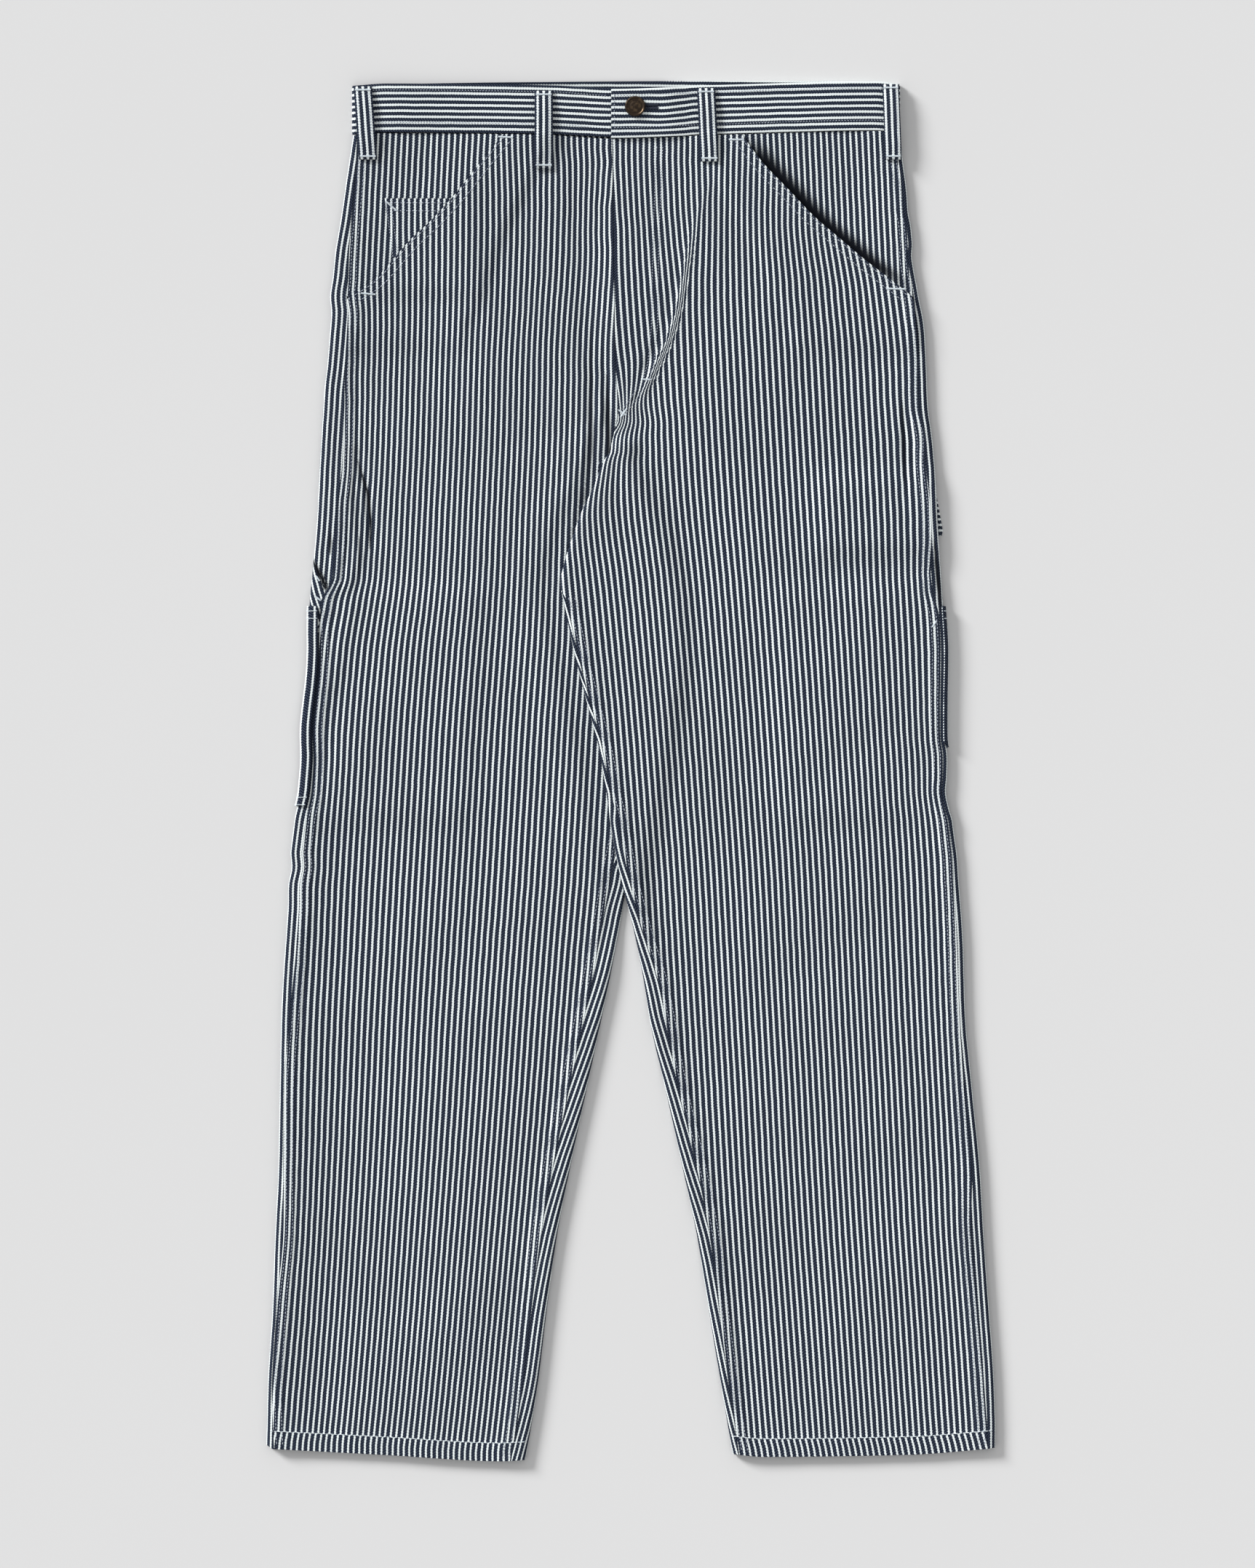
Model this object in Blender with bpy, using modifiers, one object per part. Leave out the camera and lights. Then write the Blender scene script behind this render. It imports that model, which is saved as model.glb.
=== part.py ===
"""Painter trousers laid flat on their back, the wearer's left leg lying over the right one.

Built as they are cut and sewn: two fronts, two backs, a waistband, hand pocket facings, a watch
pocket, tool pockets, a hammer loop, belt loops and a shank button. All sizes are in millimetres and
become metres when a mesh is made. "Drop" is the distance down from the waist edge, x runs from the
wearer's right (negative) to the left, and z is the height above the surface that the cloth lies on.
"""

import math
from collections import namedtuple

import bmesh
import bpy
from mathutils import Vector

MM = 0.001

# One layer of twill, the hem turned up double, and the waistband with its inner half.
WALL = 1.2
HEM_WALL = 2.2
BAND_WALL = 2.4
LOOP_WALL = 1.8
SEAM_GAP = 0.3
WAIST_GAP = 0.6
# The narrow strip of cells beside a seam, and the least width of the next ones.
SEAM_EDGE = 0.4
LEAST_STEP = 1.3
# From the outer face of one layer to that of the layer over it.
LAYER = 2.0
FOLDED_STRAP = 3.6

# Heights of outer faces above the table.
HIP_LEVEL = 4.4
LEG_LEVEL = 4.0
HEM_LEVEL = 5.2
FLY_LEVEL = 5.2
PRESSED_LEVEL = 3.0
CROSSED_LEVEL = 3.6
MOST_OVER_BACK = 6.3
LEAST_OVER_BACK = 2.9

# Round edges, where a layer turns over: outer radius.
EDGE_ROLL = 3.1
SLIM_ROLL = 2.3
PRESSED_ROLL = 1.5
BAND_ROLL = 3.0

# Waistband, fly and hem.
BAND_DEPTH = 38.0
BAND_LEFT = 209.8
BAND_RIGHT = -217.2
BAND_END = -15.2
UNDERLAP_END = 24.0
HEM_LINE = 1064.0

Outer = namedtuple("Outer", "drop edge seam")
Inner = namedtuple("Inner", "drop edge front back")
Line = namedtuple("Line", "drop x")
Edge = namedtuple("Edge", "x inward base radius")
Crease = namedtuple("Crease", "x0 drop0 x1 drop1 width height")

# Outer outline of each leg, and how far inside it the side seam lies on the upper face.
RIGHT_OUTER = [
    Outer(40, -216.3, 3.5), Outer(76, -221.7, 7.0), Outer(105, -225.7, 8.5), Outer(133, -230.2, 11.0),
    Outer(166, -233.0, 13.0), Outer(190, -234.7, 13.5), Outer(218, -236.4, 14.0), Outer(252, -238.7, 16.5),
    Outer(298, -241.5, 17.5), Outer(332, -243.2, 15.0), Outer(366, -245.5, 16.0), Outer(385, -246.8, 16.5),
    Outer(404, -248.4, 9.0), Outer(445, -249.4, 7.5), Outer(502, -255.1, 8.0), Outer(562, -259.0, 9.0),
    Outer(624, -265.6, 9.0), Outer(672, -268.8, 9.0), Outer(728, -271.6, 6.5), Outer(785, -272.8, 3.5),
    Outer(842, -273.9, 4.0), Outer(898, -276.7, 6.5), Outer(955, -278.8, 3.4), Outer(1012, -282.4, 3.4),
    Outer(1064, -283.8, 6.0),
]
LEFT_OUTER = [
    Outer(40, 209.8, 3.4), Outer(76, 213.2, 3.4), Outer(105, 215.5, 3.4), Outer(133, 218.3, 3.4),
    Outer(166, 223.0, 4.0), Outer(190, 227.5, 6.5), Outer(218, 229.3, 6.5), Outer(252, 231.2, 7.0),
    Outer(276, 234.0, 5.0), Outer(298, 235.6, 7.0), Outer(332, 237.6, 5.0), Outer(366, 239.8, 4.5),
    Outer(404, 242.2, 3.4), Outer(445, 244.2, 3.5), Outer(502, 244.4, 3.4), Outer(562, 247.6, 3.4),
    Outer(624, 255.2, 4.0), Outer(672, 259.1, 5.0), Outer(728, 260.8, 4.5), Outer(785, 265.4, 6.0),
    Outer(842, 271.0, 6.5), Outer(898, 274.4, 9.5), Outer(955, 278.4, 9.0), Outer(1012, 282.4, 8.0),
    Outer(1064, 284.1, 6.0),
]
# The centre line down the fly, with the short pinch above the crotch.
CENTRE = [
    Line(40, -14.2), Line(120, -13.3), Line(216, -11.9), Line(242, -10.4), Line(256, -9.8), Line(266, -11.2),
    Line(272, -13.2),
]
# Inner outline of each leg below the crotch, with the front's and the back's edge measured from it
# along the upper face, negative where they lie on the under face.
RIGHT_INNER = [
    Inner(276, -12.0, 1.9, -0.7), Inner(280, -12.5, 2.3, 0.3), Inner(286, -13.5, 3.0, 2.3),
    Inner(294, -12.0, 5.4, 4.9), Inner(304, -5.0, 13.2, 12.9), Inner(318, 2.0, 14.2, 13.9),
    Inner(350, 16.0, 14.2, 13.9), Inner(380, 24.0, 14.2, 13.9), Inner(405, 28.5, 14.2, 13.9),
    Inner(440, 30.0, 14.2, 13.9), Inner(502, 22.0, 14.2, 13.9), Inner(575, 7.5, 14.2, 13.9),
    Inner(624, -3.0, 13.7, 13.4), Inner(655, -8.3, 13.7, 13.4), Inner(700, -16.8, 13.7, 13.4),
    Inner(728, -22.6, 13.7, 13.4), Inner(785, -34.6, 13.7, 13.4), Inner(842, -46.6, 13.7, 13.4),
    Inner(898, -57.4, 12.7, 12.4), Inner(955, -65.4, 12.2, 11.9), Inner(1012, -73.0, 11.7, 11.4),
    Inner(1064, -82.2, 11.2, 10.9),
]
LEFT_INNER = [
    Inner(276, -15.3, 1.7, -3.3), Inner(280, -15.4, 0.0, -4.7), Inner(286, -15.6, -2.5, -5.0),
    Inner(294, -21.0, -5.7, -6.0), Inner(304, -25.0, -5.8, -6.1), Inner(318, -30.8, -5.8, -6.1),
    Inner(336, -39.2, -5.8, -6.1), Inner(356, -46.2, -5.8, -6.1), Inner(376, -52.4, -5.0, -5.5),
    Inner(390, -55.0, -1.4, -2.2), Inner(406, -51.8, 2.8, 2.5), Inner(440, -44.8, 2.8, 2.5),
    Inner(480, -34.8, 2.8, 2.5), Inner(520, -24.4, 2.8, 2.5), Inner(550, -19.4, 3.6, 3.3),
    Inner(583, -14.9, 6.6, 6.3), Inner(624, -6.8, 6.4, 6.1), Inner(655, 1.2, 6.6, 6.3),
    Inner(700, 10.2, 11.2, 10.9), Inner(728, 14.4, 12.6, 12.3), Inner(785, 27.2, 10.2, 9.9),
    Inner(842, 39.7, 11.2, 10.9), Inner(898, 51.5, 10.2, 9.9), Inner(955, 60.7, 8.2, 7.9),
    Inner(1012, 70.4, 6.2, 5.9), Inner(1064, 79.4, 5.2, 4.9),
]
# The slanted pocket mouths, and the hidden inner edges of the facings behind them.
RIGHT_MOUTH = [
    Line(40, -99.0), Line(62, -117.0), Line(84, -134.5), Line(104, -152.5), Line(122, -171.5), Line(139, -186.5),
    Line(153, -199.6), Line(166, -219.8),
]
LEFT_MOUTH = [
    Line(40, 86.5), Line(62, 102.5), Line(84, 123.5), Line(104, 143.0), Line(122, 164.0), Line(139, 184.0),
    Line(153, 202.5), Line(166, 219.0),
]
RIGHT_FACING_END = [Line(40, -75.0), Line(84, -95.0), Line(122, -114.0), Line(166, -129.0), Line(190, -142.0)]
LEFT_FACING_END = [Line(40, 62.0), Line(84, 86.0), Line(122, 108.0), Line(166, 127.0), Line(190, 140.0)]

# Upper and lower edges of the band, front and back, and of the hems, as sag below a straight line.
FRONT_BAND_SAG = [(-217.0, 2.0), (-190.0, 0.2), (-60.0, 1.8), (-14.0, 4.6), (60.0, 2.0), (190.0, -1.4), (210.0, 0.6)]
BACK_BAND_SAG = [(-217.0, 2.0), (-180.0, 0.4), (-100.0, -1.0), (100.0, -2.2), (180.0, -1.8), (210.0, 0.6)]
RIGHT_HEM_SAG = [(-284.0, 0.0), (-190.0, 5.0), (-101.0, 9.8), (-82.0, 8.8)]
LEFT_HEM_SAG = [(79.0, 4.2), (104.0, 6.4), (216.0, 4.8), (284.0, -0.4)]

# The largest folds in the upper face, each a soft ridge (or trough, below zero) along a line.
CREASES = [
    Crease(-30, 60, -26, 250, 16, -1.1),
    Crease(67, 70, 18, 225, 15, 1.2),
    Crease(44, 110, 12, 262, 12, -0.9),
    Crease(-212, 290, -203, 356, 11, -1.2),
    Crease(-238, 372, -222, 395, 12, 1.0),
    Crease(-228, 560, -196, 470, 14, 0.9),
    Crease(222, 256, 214, 322, 11, -1.2),
    Crease(196, 330, 176, 470, 18, 0.9),
    Crease(-128, 330, -150, 640, 34, 0.9),
    Crease(112, 340, 150, 700, 34, 0.9),
    Crease(-190, 700, -214, 1000, 26, -0.8),
    Crease(-110, 760, -132, 1010, 24, 0.8),
    Crease(206, 760, 226, 1010, 26, 0.8),
    Crease(120, 800, 150, 1030, 26, -0.7),
]

# What lies on the outside of the backs: drop and reach under the leg from the outer outline.
Pocket = namedtuple("Pocket", "top bottom wrap under")
RIGHT_TOOL = Pocket(410.0, 556.0, 6.6, 112.0)
LEFT_TOOL = Pocket(410.0, 556.0, 1.6, 112.0)
HAMMER_LOOP = {"top": 320.0, "bottom": 352.0, "inner": 166.0, "fold": 243.8, "upper_end": 212.0, "roll": 1.5}
WATCH = {"top": 90.0, "bottom": 150.0, "inner": -139.0, "outer_top": -191.6, "outer_bottom": -183.0}

Loop = namedtuple("Loop", "name top_x bottom_x top bottom width")
BELT_LOOPS = [
    Loop("belt_loop_right_side", -208.8, -204.6, 2.6, 59.5, 14.2),
    Loop("belt_loop_right_front", -67.8, -67.8, 6.0, 66.5, 14.2),
    Loop("belt_loop_left_front", 58.6, 61.4, 4.0, 61.0, 14.2),
    Loop("belt_loop_left_side", 202.4, 204.6, 0.8, 59.5, 13.0),
]
LOOP_ARCH = 1.4
LOOP_CLEARANCE = 0.7

BUTTON_X = 3.4
BUTTON_DROP = 18.1
BUTTON_RADIUS = 8.0
SHANK_RADIUS = 1.9
EYE_RADIUS = 2.6
SLOT_END = 20.4
SLOT_WIDTH = 1.6

# The rows at which every panel is worked out, from the waist seam to the hem.
ROWS = [
    40, 62, 84, 104, 122, 139, 153, 166, 190, 216, 242, 260, 272, 276, 280, 286, 294, 304, 318, 336, 356, 376,
    390, 398, 410, 440, 480, 520, 556, 590, 624, 655, 700, 760, 830, 900, 970, 1030, 1050, 1064,
]

NAVY = (0.045, 0.062, 0.115)
PALE = (0.62, 0.66, 0.68)
DARK_BRASS = (0.16, 0.12, 0.08)


def ramp(value, start, end):
    """0 before start, 1 after end, and smooth between them."""
    part = min(1.0, max(0.0, (value - start) / (end - start)))
    return part * part * (3.0 - 2.0 * part)


def mix(a, b, part):
    return a + (b - a) * part


def slope(points, i):
    """Slope at point i of a curve that never overshoots its points."""
    if i == 0:
        return (points[1][1] - points[0][1]) / (points[1][0] - points[0][0])
    if i == len(points) - 1:
        return (points[-1][1] - points[-2][1]) / (points[-1][0] - points[-2][0])
    before = (points[i][1] - points[i - 1][1]) / (points[i][0] - points[i - 1][0])
    after = (points[i + 1][1] - points[i][1]) / (points[i + 1][0] - points[i][0])
    return 0.0 if before * after <= 0 else 2.0 * before * after / (before + after)


def curve_at(points, position):
    """The smooth curve through (position, value) points, held level past its ends."""
    if position <= points[0][0]:
        return points[0][1]
    for i in range(len(points) - 1):
        if position <= points[i + 1][0]:
            step = points[i + 1][0] - points[i][0]
            t = (position - points[i][0]) / step
            rise = slope(points, i) * step * (t ** 3 - 2 * t ** 2 + t)
            rise += slope(points, i + 1) * step * (t ** 3 - t ** 2)
            return rise + mix(points[i][1], points[i + 1][1], t * t * (3 - 2 * t))
    return points[-1][1]


def read(rows, column, drop):
    return curve_at([(row.drop, getattr(row, column)) for row in rows], drop)


def hip_rows(sign):
    """The inner edge above the crotch, where fronts meet at the fly and backs at the centre back."""
    if sign < 0:
        return [Inner(row.drop, row.x + 2.0, 2.15, -1.65) for row in CENTRE]
    return [Inner(row.drop, row.x - SLIM_ROLL, 2.45, -2.95) for row in CENTRE]


class Half:
    """One side of the trousers: its outlines, seams and pocket mouth."""

    def __init__(self, sign, outer, inner, mouth, facing_end, hem):
        self.sign = sign
        self.outer = outer
        self.inner = hip_rows(sign) + inner
        self.mouth = mouth
        self.facing_end = facing_end
        self.hem = hem
        self.tool = RIGHT_TOOL if sign < 0 else LEFT_TOOL


RIGHT = Half(-1, RIGHT_OUTER, RIGHT_INNER, RIGHT_MOUTH, RIGHT_FACING_END, RIGHT_HEM_SAG)
LEFT = Half(1, LEFT_OUTER, LEFT_INNER, LEFT_MOUTH, LEFT_FACING_END, LEFT_HEM_SAG)


def window(value, start, end, margin):
    """1 between start and end, falling to 0 within the margin on either side."""
    return ramp(value, start - margin, start) * (1.0 - ramp(value, end, end + margin))


def tool_lift(half, x, drop):
    """How far the back stands off the table over its tool pocket."""
    inside = half.sign * (read(half.outer, "edge", drop) - x)
    across = 1.0 - ramp(inside, half.tool.under + 8, half.tool.under + 34)
    return LAYER * across * window(drop, half.tool.top - 4, half.tool.bottom + 4, 24)


def strap_lift(x, drop):
    """How far the left back stands off the table over the folded hammer loop."""
    across = ramp(x, HAMMER_LOOP["inner"] - 34, HAMMER_LOOP["inner"] - 8)
    return FOLDED_STRAP * across * window(drop, HAMMER_LOOP["top"] - 2, HAMMER_LOOP["bottom"] + 4, 24)


def crossing_lift(x, drop):
    """How far the left leg stands off the table where it lies on the right leg."""
    reach = read(RIGHT.inner, "edge", drop)
    return CROSSED_LEVEL * ramp(drop, 272, 284) * (1.0 - ramp(x, reach + 3, reach + 24))


def under_height(half, x, drop):
    """Height of the under face, which is the outside of the back."""
    if half.sign < 0:
        return tool_lift(half, x, drop)
    return max(crossing_lift(x, drop), strap_lift(x, drop), tool_lift(half, x, drop))


def outer_edge(half, drop):
    x = read(half.outer, "edge", drop)
    slim = window(drop, half.tool.top - 6, half.tool.bottom + 6, 20)
    if half.sign > 0:
        slim = max(slim, window(drop, HAMMER_LOOP["top"] - 2, HAMMER_LOOP["bottom"] + 4, 20))
    return Edge(x, -half.sign, under_height(half, x, drop), mix(EDGE_ROLL, SLIM_ROLL, slim))


def inner_edge(half, drop):
    x = read(half.inner, "edge", drop)
    crossed = PRESSED_ROLL if half.sign < 0 else SLIM_ROLL
    radius = mix(crossed, EDGE_ROLL, ramp(drop, 640, 700))
    return Edge(x, half.sign, under_height(half, x, drop), radius)


def fold_relief(x, drop):
    total = 0.0
    for fold in CREASES:
        run = (fold.x1 - fold.x0, fold.drop1 - fold.drop0)
        length = math.hypot(*run)
        along = ((x - fold.x0) * run[0] + (drop - fold.drop0) * run[1]) / length
        across = abs((x - fold.x0) * run[1] - (drop - fold.drop0) * run[0]) / length
        fade = window(along, 0.2 * length, 0.8 * length, 0.35 * length)
        total += fold.height * fade * (1.0 - ramp(across, 0.0, 2.0 * fold.width))
    return total


def top_height(half, x, drop):
    """Height of the upper face, which is the outside of the front."""
    outer = outer_edge(half, drop)
    inner = inner_edge(half, drop)
    under = under_height(half, x, drop)
    level = mix(HIP_LEVEL, LEG_LEVEL, ramp(drop, 250, 330))
    level = under + mix(level, HEM_LEVEL, ramp(drop, HEM_LINE - 60, HEM_LINE - 16))
    at_fly = HIP_LEVEL if half.sign < 0 else FLY_LEVEL
    at_inner = mix(at_fly, inner.base + 2 * inner.radius, ramp(drop, 250, 276))
    if half.sign < 0:
        pressed = ramp(x, read(LEFT.inner, "edge", drop) - 32, read(LEFT.inner, "edge", drop) - 5)
        pressed *= ramp(drop, 256, 280) * (1.0 - ramp(drop, 650, 690))
        level = mix(level, PRESSED_LEVEL, pressed)
    from_outer = abs(x - outer.x)
    from_inner = abs(x - inner.x)
    level += fold_relief(x, drop) * ramp(from_outer, 6, 18) * ramp(from_inner, 6, 18)
    level = mix(level, at_inner, 1.0 - ramp(from_inner, inner.radius, 26))
    level = mix(level, outer.base + 2 * outer.radius, 1.0 - ramp(from_outer, outer.radius, 46))
    least = under + (PRESSED_LEVEL if half.sign < 0 else LEAST_OVER_BACK)
    return min(max(level, least), under + MOST_OVER_BACK)


def facing_lift(half, x, drop):
    """How far the front is lifted by the facing, the watch pocket and the gape of the pocket mouth."""
    end = read(half.facing_end, "x", drop)
    lift = LAYER * (1.0 - ramp(half.sign * (end - x), 6, 20)) * (1.0 - ramp(drop, 196, 218))
    if half.sign < 0:
        over_watch = ramp(-x, -WATCH["inner"] - 30, -WATCH["inner"] - 8)
        over_watch *= 1.0 - ramp(-x, -WATCH["outer_top"] + 5, -WATCH["outer_top"] + 22)
        return lift + LAYER * over_watch * window(drop, WATCH["top"] - 8, WATCH["bottom"] + 6, 18)
    from_mouth = abs(x - read(half.mouth, "x", drop))
    return lift + 2.0 * (1.0 - ramp(from_mouth, 2, 24)) * window(drop, 84, 128, 40)


def cover_height(half, x, drop):
    """Height of what shows on top: the front inside the pocket mouth, and the facing outside it."""
    level = top_height(half, x, drop)
    inside_mouth = half.sign * (read(half.mouth, "x", drop) - x) > -2
    return level + facing_lift(half, x, drop) if inside_mouth else level


def arc_of(radius, distance):
    """Length along the outer face from the outline to a seam that lies this far in from it."""
    size = abs(distance)
    if size < radius:
        return math.copysign(radius * math.acos(1.0 - size / radius), distance)
    return math.copysign(math.pi * radius / 2 + size - radius, distance)


def rolled(half, edge, arc, drop):
    """(x, z, normal x, normal z) on the outside of a leg, an arc's length from its outline."""
    quarter = math.pi * edge.radius / 2
    if abs(arc) < quarter:
        angle = arc / edge.radius
        x = edge.x + edge.inward * edge.radius * (1.0 - math.cos(angle))
        z = edge.base + edge.radius * (1.0 + math.sin(angle))
        return x, z, -edge.inward * math.cos(angle), math.sin(angle)
    x = edge.x + edge.inward * (edge.radius + abs(arc) - quarter)
    if arc > 0:
        return x, top_height(half, x, drop), 0.0, 1.0
    return x, under_height(half, x, drop), 0.0, -1.0


def stops(edge, start, turns, far):
    """Arcs from a seam onwards round the edge: one close to the seam, quarter turns, then a far one.

    They run towards far, up the edge or down it, and are never crowded."""
    way = 1 if far > 0 else -1
    wanted = [turn * math.pi * edge.radius / 2 for turn in turns] + [far]
    arcs = [start, start + way * SEAM_EDGE]
    for k, arc in enumerate(wanted, 1):
        arcs.append(way * max(way * arc, way * start + SEAM_EDGE + LEAST_STEP * k))
    return arcs


def between(a, b, count):
    return [a + (b - a) * (k + 1) / (count + 1) for k in range(count)]


def across_crossing(half, a, b, drop, rest):
    """Places across the middle of a panel, from its inner part to its outer one.

    Two of them hold the step where the left leg comes down off the right one, or where the right
    leg is pressed flat below it."""
    if half.sign > 0:
        reach = read(RIGHT.inner, "edge", drop)
        near, far = reach + 3, reach + 24
    else:
        reach = read(LEFT.inner, "edge", drop)
        near, far = reach - 5, reach - 32
    near = half.sign * max(half.sign * near, half.sign * a + 14)
    far = half.sign * max(half.sign * far, half.sign * near + 14)
    return between(a, near, 1) + [near] + between(near, far, 1) + [far] + between(far, b, rest)


def front_row(half, drop):
    """(x, z) across a front, from its fly or inner seam to its pocket mouth or side seam."""
    inner = inner_edge(half, drop)
    outer = outer_edge(half, drop)
    seam = arc_of(inner.radius, read(half.inner, "front", drop))
    turns = (-1, -0.5, 0, 0.5, 1) if half.sign > 0 else (1,)
    row = [rolled(half, inner, arc, drop)[:2] for arc in stops(inner, seam, turns, 16)]
    seam = arc_of(outer.radius, read(half.outer, "seam", drop)) + SEAM_GAP / 2
    if drop < half.mouth[-1].drop:
        seam = arc_of(outer.radius, abs(outer.x - read(half.mouth, "x", drop)))
    outer_part = [rolled(half, outer, arc, drop)[:2] for arc in stops(outer, seam, (0.5, 1), 26)]
    for x in across_crossing(half, row[-1][0], outer_part[-1][0], drop, 4):
        row.append((x, top_height(half, x, drop)))
    row += outer_part[::-1]
    return [(x, z + facing_lift(half, x, drop)) for x, z in row]


def back_row(half, drop):
    """(x, z) across a back, from its side seam on the upper face, under the leg, to its inner edge."""
    inner = inner_edge(half, drop)
    outer = outer_edge(half, drop)
    seam = arc_of(outer.radius, read(half.outer, "seam", drop)) - SEAM_GAP / 2
    row = [rolled(half, outer, arc, drop)[:2] for arc in stops(outer, seam, (1, 0.5, 0, -0.5, -1), -20)]
    seam = arc_of(inner.radius, read(half.inner, "back", drop))
    inner_part = [rolled(half, inner, arc, drop)[:2] for arc in stops(inner, seam, (1, 0.5, 0, -0.5, -1), -20)]
    middle = between(row[-1][0], inner_part[-1][0], 4)
    if half.sign > 0:
        middle = across_crossing(half, inner_part[-1][0], row[-1][0], drop, 3)[::-1]
    for x in middle:
        row.append((x, under_height(half, x, drop)))
    return row + inner_part[::-1]


def facing_row(half, drop):
    """(x, z) across a facing, from its hidden inner edge to the side seam."""
    outer = outer_edge(half, drop)
    last = half.mouth[-1].drop
    seam = arc_of(outer.radius, read(half.outer, "seam", drop)) + SEAM_GAP / 2
    seam += 30.0 * max(0.0, drop - last) / (half.facing_end[-1].drop - last)
    row = [rolled(half, outer, arc, drop)[:2] for arc in stops(outer, seam, (0.5, 1), 26)]
    end = read(half.facing_end, "x", drop)
    for x in between(row[-1][0], end, 7) + [end]:
        row.append((x, top_height(half, x, drop)))
    return row[::-1]


def tool_row(half, drop):
    """(x, z) across a tool pocket, one layer out from the back it is sewn on."""
    outer = outer_edge(half, drop)
    wrap = arc_of(outer.radius, half.tool.wrap)
    arcs = stops(outer, wrap, (1, 0.5, 0, -0.5, -1), -16)
    end = -math.pi * outer.radius / 2 - half.tool.under
    row = []
    for arc in arcs + between(arcs[-1], end, 3) + [end]:
        x, z, out_x, out_z = rolled(half, outer, arc, drop)
        row.append((x + LAYER * out_x, z + LAYER * out_z))
    return row


def watch_row(half, drop):
    """(x, z) across the watch pocket, one layer above the facing it is sewn on."""
    part = (drop - WATCH["top"]) / (WATCH["bottom"] - WATCH["top"])
    outer_x = mix(WATCH["outer_top"], WATCH["outer_bottom"], part)
    xs = [WATCH["inner"]] + between(WATCH["inner"], outer_x, 3) + [outer_x]
    return [(x, top_height(half, x, drop) + LAYER) for x in xs]


def sewn_drop(half, x, drop, band_sag):
    """Moves a row's point to the true waist seam and hem line near those ends."""
    near_waist = 1.0 - ramp(drop, ROWS[0], 110)
    near_hem = ramp(drop, 930, HEM_LINE)
    waist = BAND_DEPTH + curve_at(band_sag, x) + WAIST_GAP - ROWS[0]
    return drop + waist * near_waist + curve_at(half.hem, x) * near_hem


def material(name, colour, roughness, metallic=0.0):
    made = bpy.data.materials.new(name)
    made.use_nodes = True
    shader = made.node_tree.nodes["Principled BSDF"]
    shader.inputs["Base Color"].default_value = (*colour, 1.0)
    shader.inputs["Roughness"].default_value = roughness
    shader.inputs["Metallic"].default_value = metallic
    return made


def place(name, mesh, collection, colour=NAVY, roughness=0.85, metallic=0.0):
    made = bpy.data.objects.new(name, mesh)
    made.data.materials.append(material(name + "_finish", colour, roughness, metallic))
    collection.objects.link(made)
    return made


def cloth(name, rows, collection, wall=WALL, colour=NAVY, thick_row=None):
    """A wall of cloth whose outer face runs through rows of (x, drop, z), thickened inwards.

    thick_row is the row from which the cloth is doubled, to HEM_WALL."""
    grid = bmesh.new()
    bmesh.ops.create_grid(grid, x_segments=len(rows[0]) - 1, y_segments=len(rows) - 1, size=1.0)
    full = HEM_WALL if thick_row is not None else wall
    weights = []
    for vert in grid.verts:
        i = round((vert.co.x + 1) / 2 * (len(rows[0]) - 1))
        j = round((vert.co.y + 1) / 2 * (len(rows) - 1))
        x, drop, z = rows[j][i]
        vert.co = point_of((x, drop, z))
        thin = thick_row is not None and j < thick_row
        weights.append(WALL / full if thin else 1.0)
        if i == 0 and j == 0:
            corner = vert
    face_out(grid, corner, rows)
    mesh = bpy.data.meshes.new(name)
    grid.to_mesh(mesh)
    grid.free()
    made = place(name, mesh, collection, colour)
    solid = made.modifiers.new("wall", "SOLIDIFY")
    solid.thickness = full * MM
    solid.offset = -1.0
    if thick_row is not None:
        group = made.vertex_groups.new(name="doubled")
        for index, weight in enumerate(weights):
            group.add([index], weight, "REPLACE")
        solid.vertex_group = "doubled"
    made.data.shade_smooth()
    return made


def face_out(grid, corner, rows):
    """Turns the faces outwards: every row of a panel runs so that down x across points out of it."""
    across = point_of(rows[0][1]) - point_of(rows[0][0])
    down = point_of(rows[1][0]) - point_of(rows[0][0])
    grid.normal_update()
    if down.cross(across).dot(corner.link_faces[0].normal) < 0:
        bmesh.ops.reverse_faces(grid, faces=grid.faces)


def point_of(spot):
    return Vector((spot[0], -spot[1], spot[2])) * MM


def panel(name, half, row_of, drops, collection, band_sag=FRONT_BAND_SAG, hemmed=False):
    """A panel of one half, made row by row and set to the true waist seam and hem."""
    rows = []
    for drop in drops:
        row = row_of(half, drop)
        spots = [(x, sewn_drop(half, x, drop, band_sag), z) for x, z in row]
        rows.append(spots[::-1] if half.sign < 0 else spots)
    thick_row = len(drops) - 2 if hemmed else None
    return cloth(name, rows, collection, thick_row=thick_row)


def band_spots():
    """(x, z, layer) along the waistband, from the underlap's end, round the back, to the overlap's end."""
    lower_top = 2 * BAND_ROLL
    spots = [(x, 5.2, "front") for x in (UNDERLAP_END, 4.0, BAND_END, -34.0)]
    spots += [(x, mix(5.2, lower_top, ramp(-x, 60, 180)), "front") for x in (-60, -95, -130, -165, -200)]
    spots += [(*spot, "turn") for spot in turned(BAND_RIGHT, 1, 1)]
    spots += [(x, 0.0, "back") for x in (-195, -150, -100, -50, 0, 50, 100, 150, 190)]
    spots += [(*spot, "turn") for spot in turned(BAND_LEFT, -1, -1)]
    lap = 5.2 + BAND_WALL + SEAM_GAP
    for x in (192, 160, 125, 95, 72, 50, 44, 38, 32, 27, 18, 8, -4, BAND_END):
        spots.append((x, mix(5.4, lap, 1.0 - ramp(x, 27, 50)) + 0.6 * ramp(x, 100, 190), "front"))
    return spots


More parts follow.
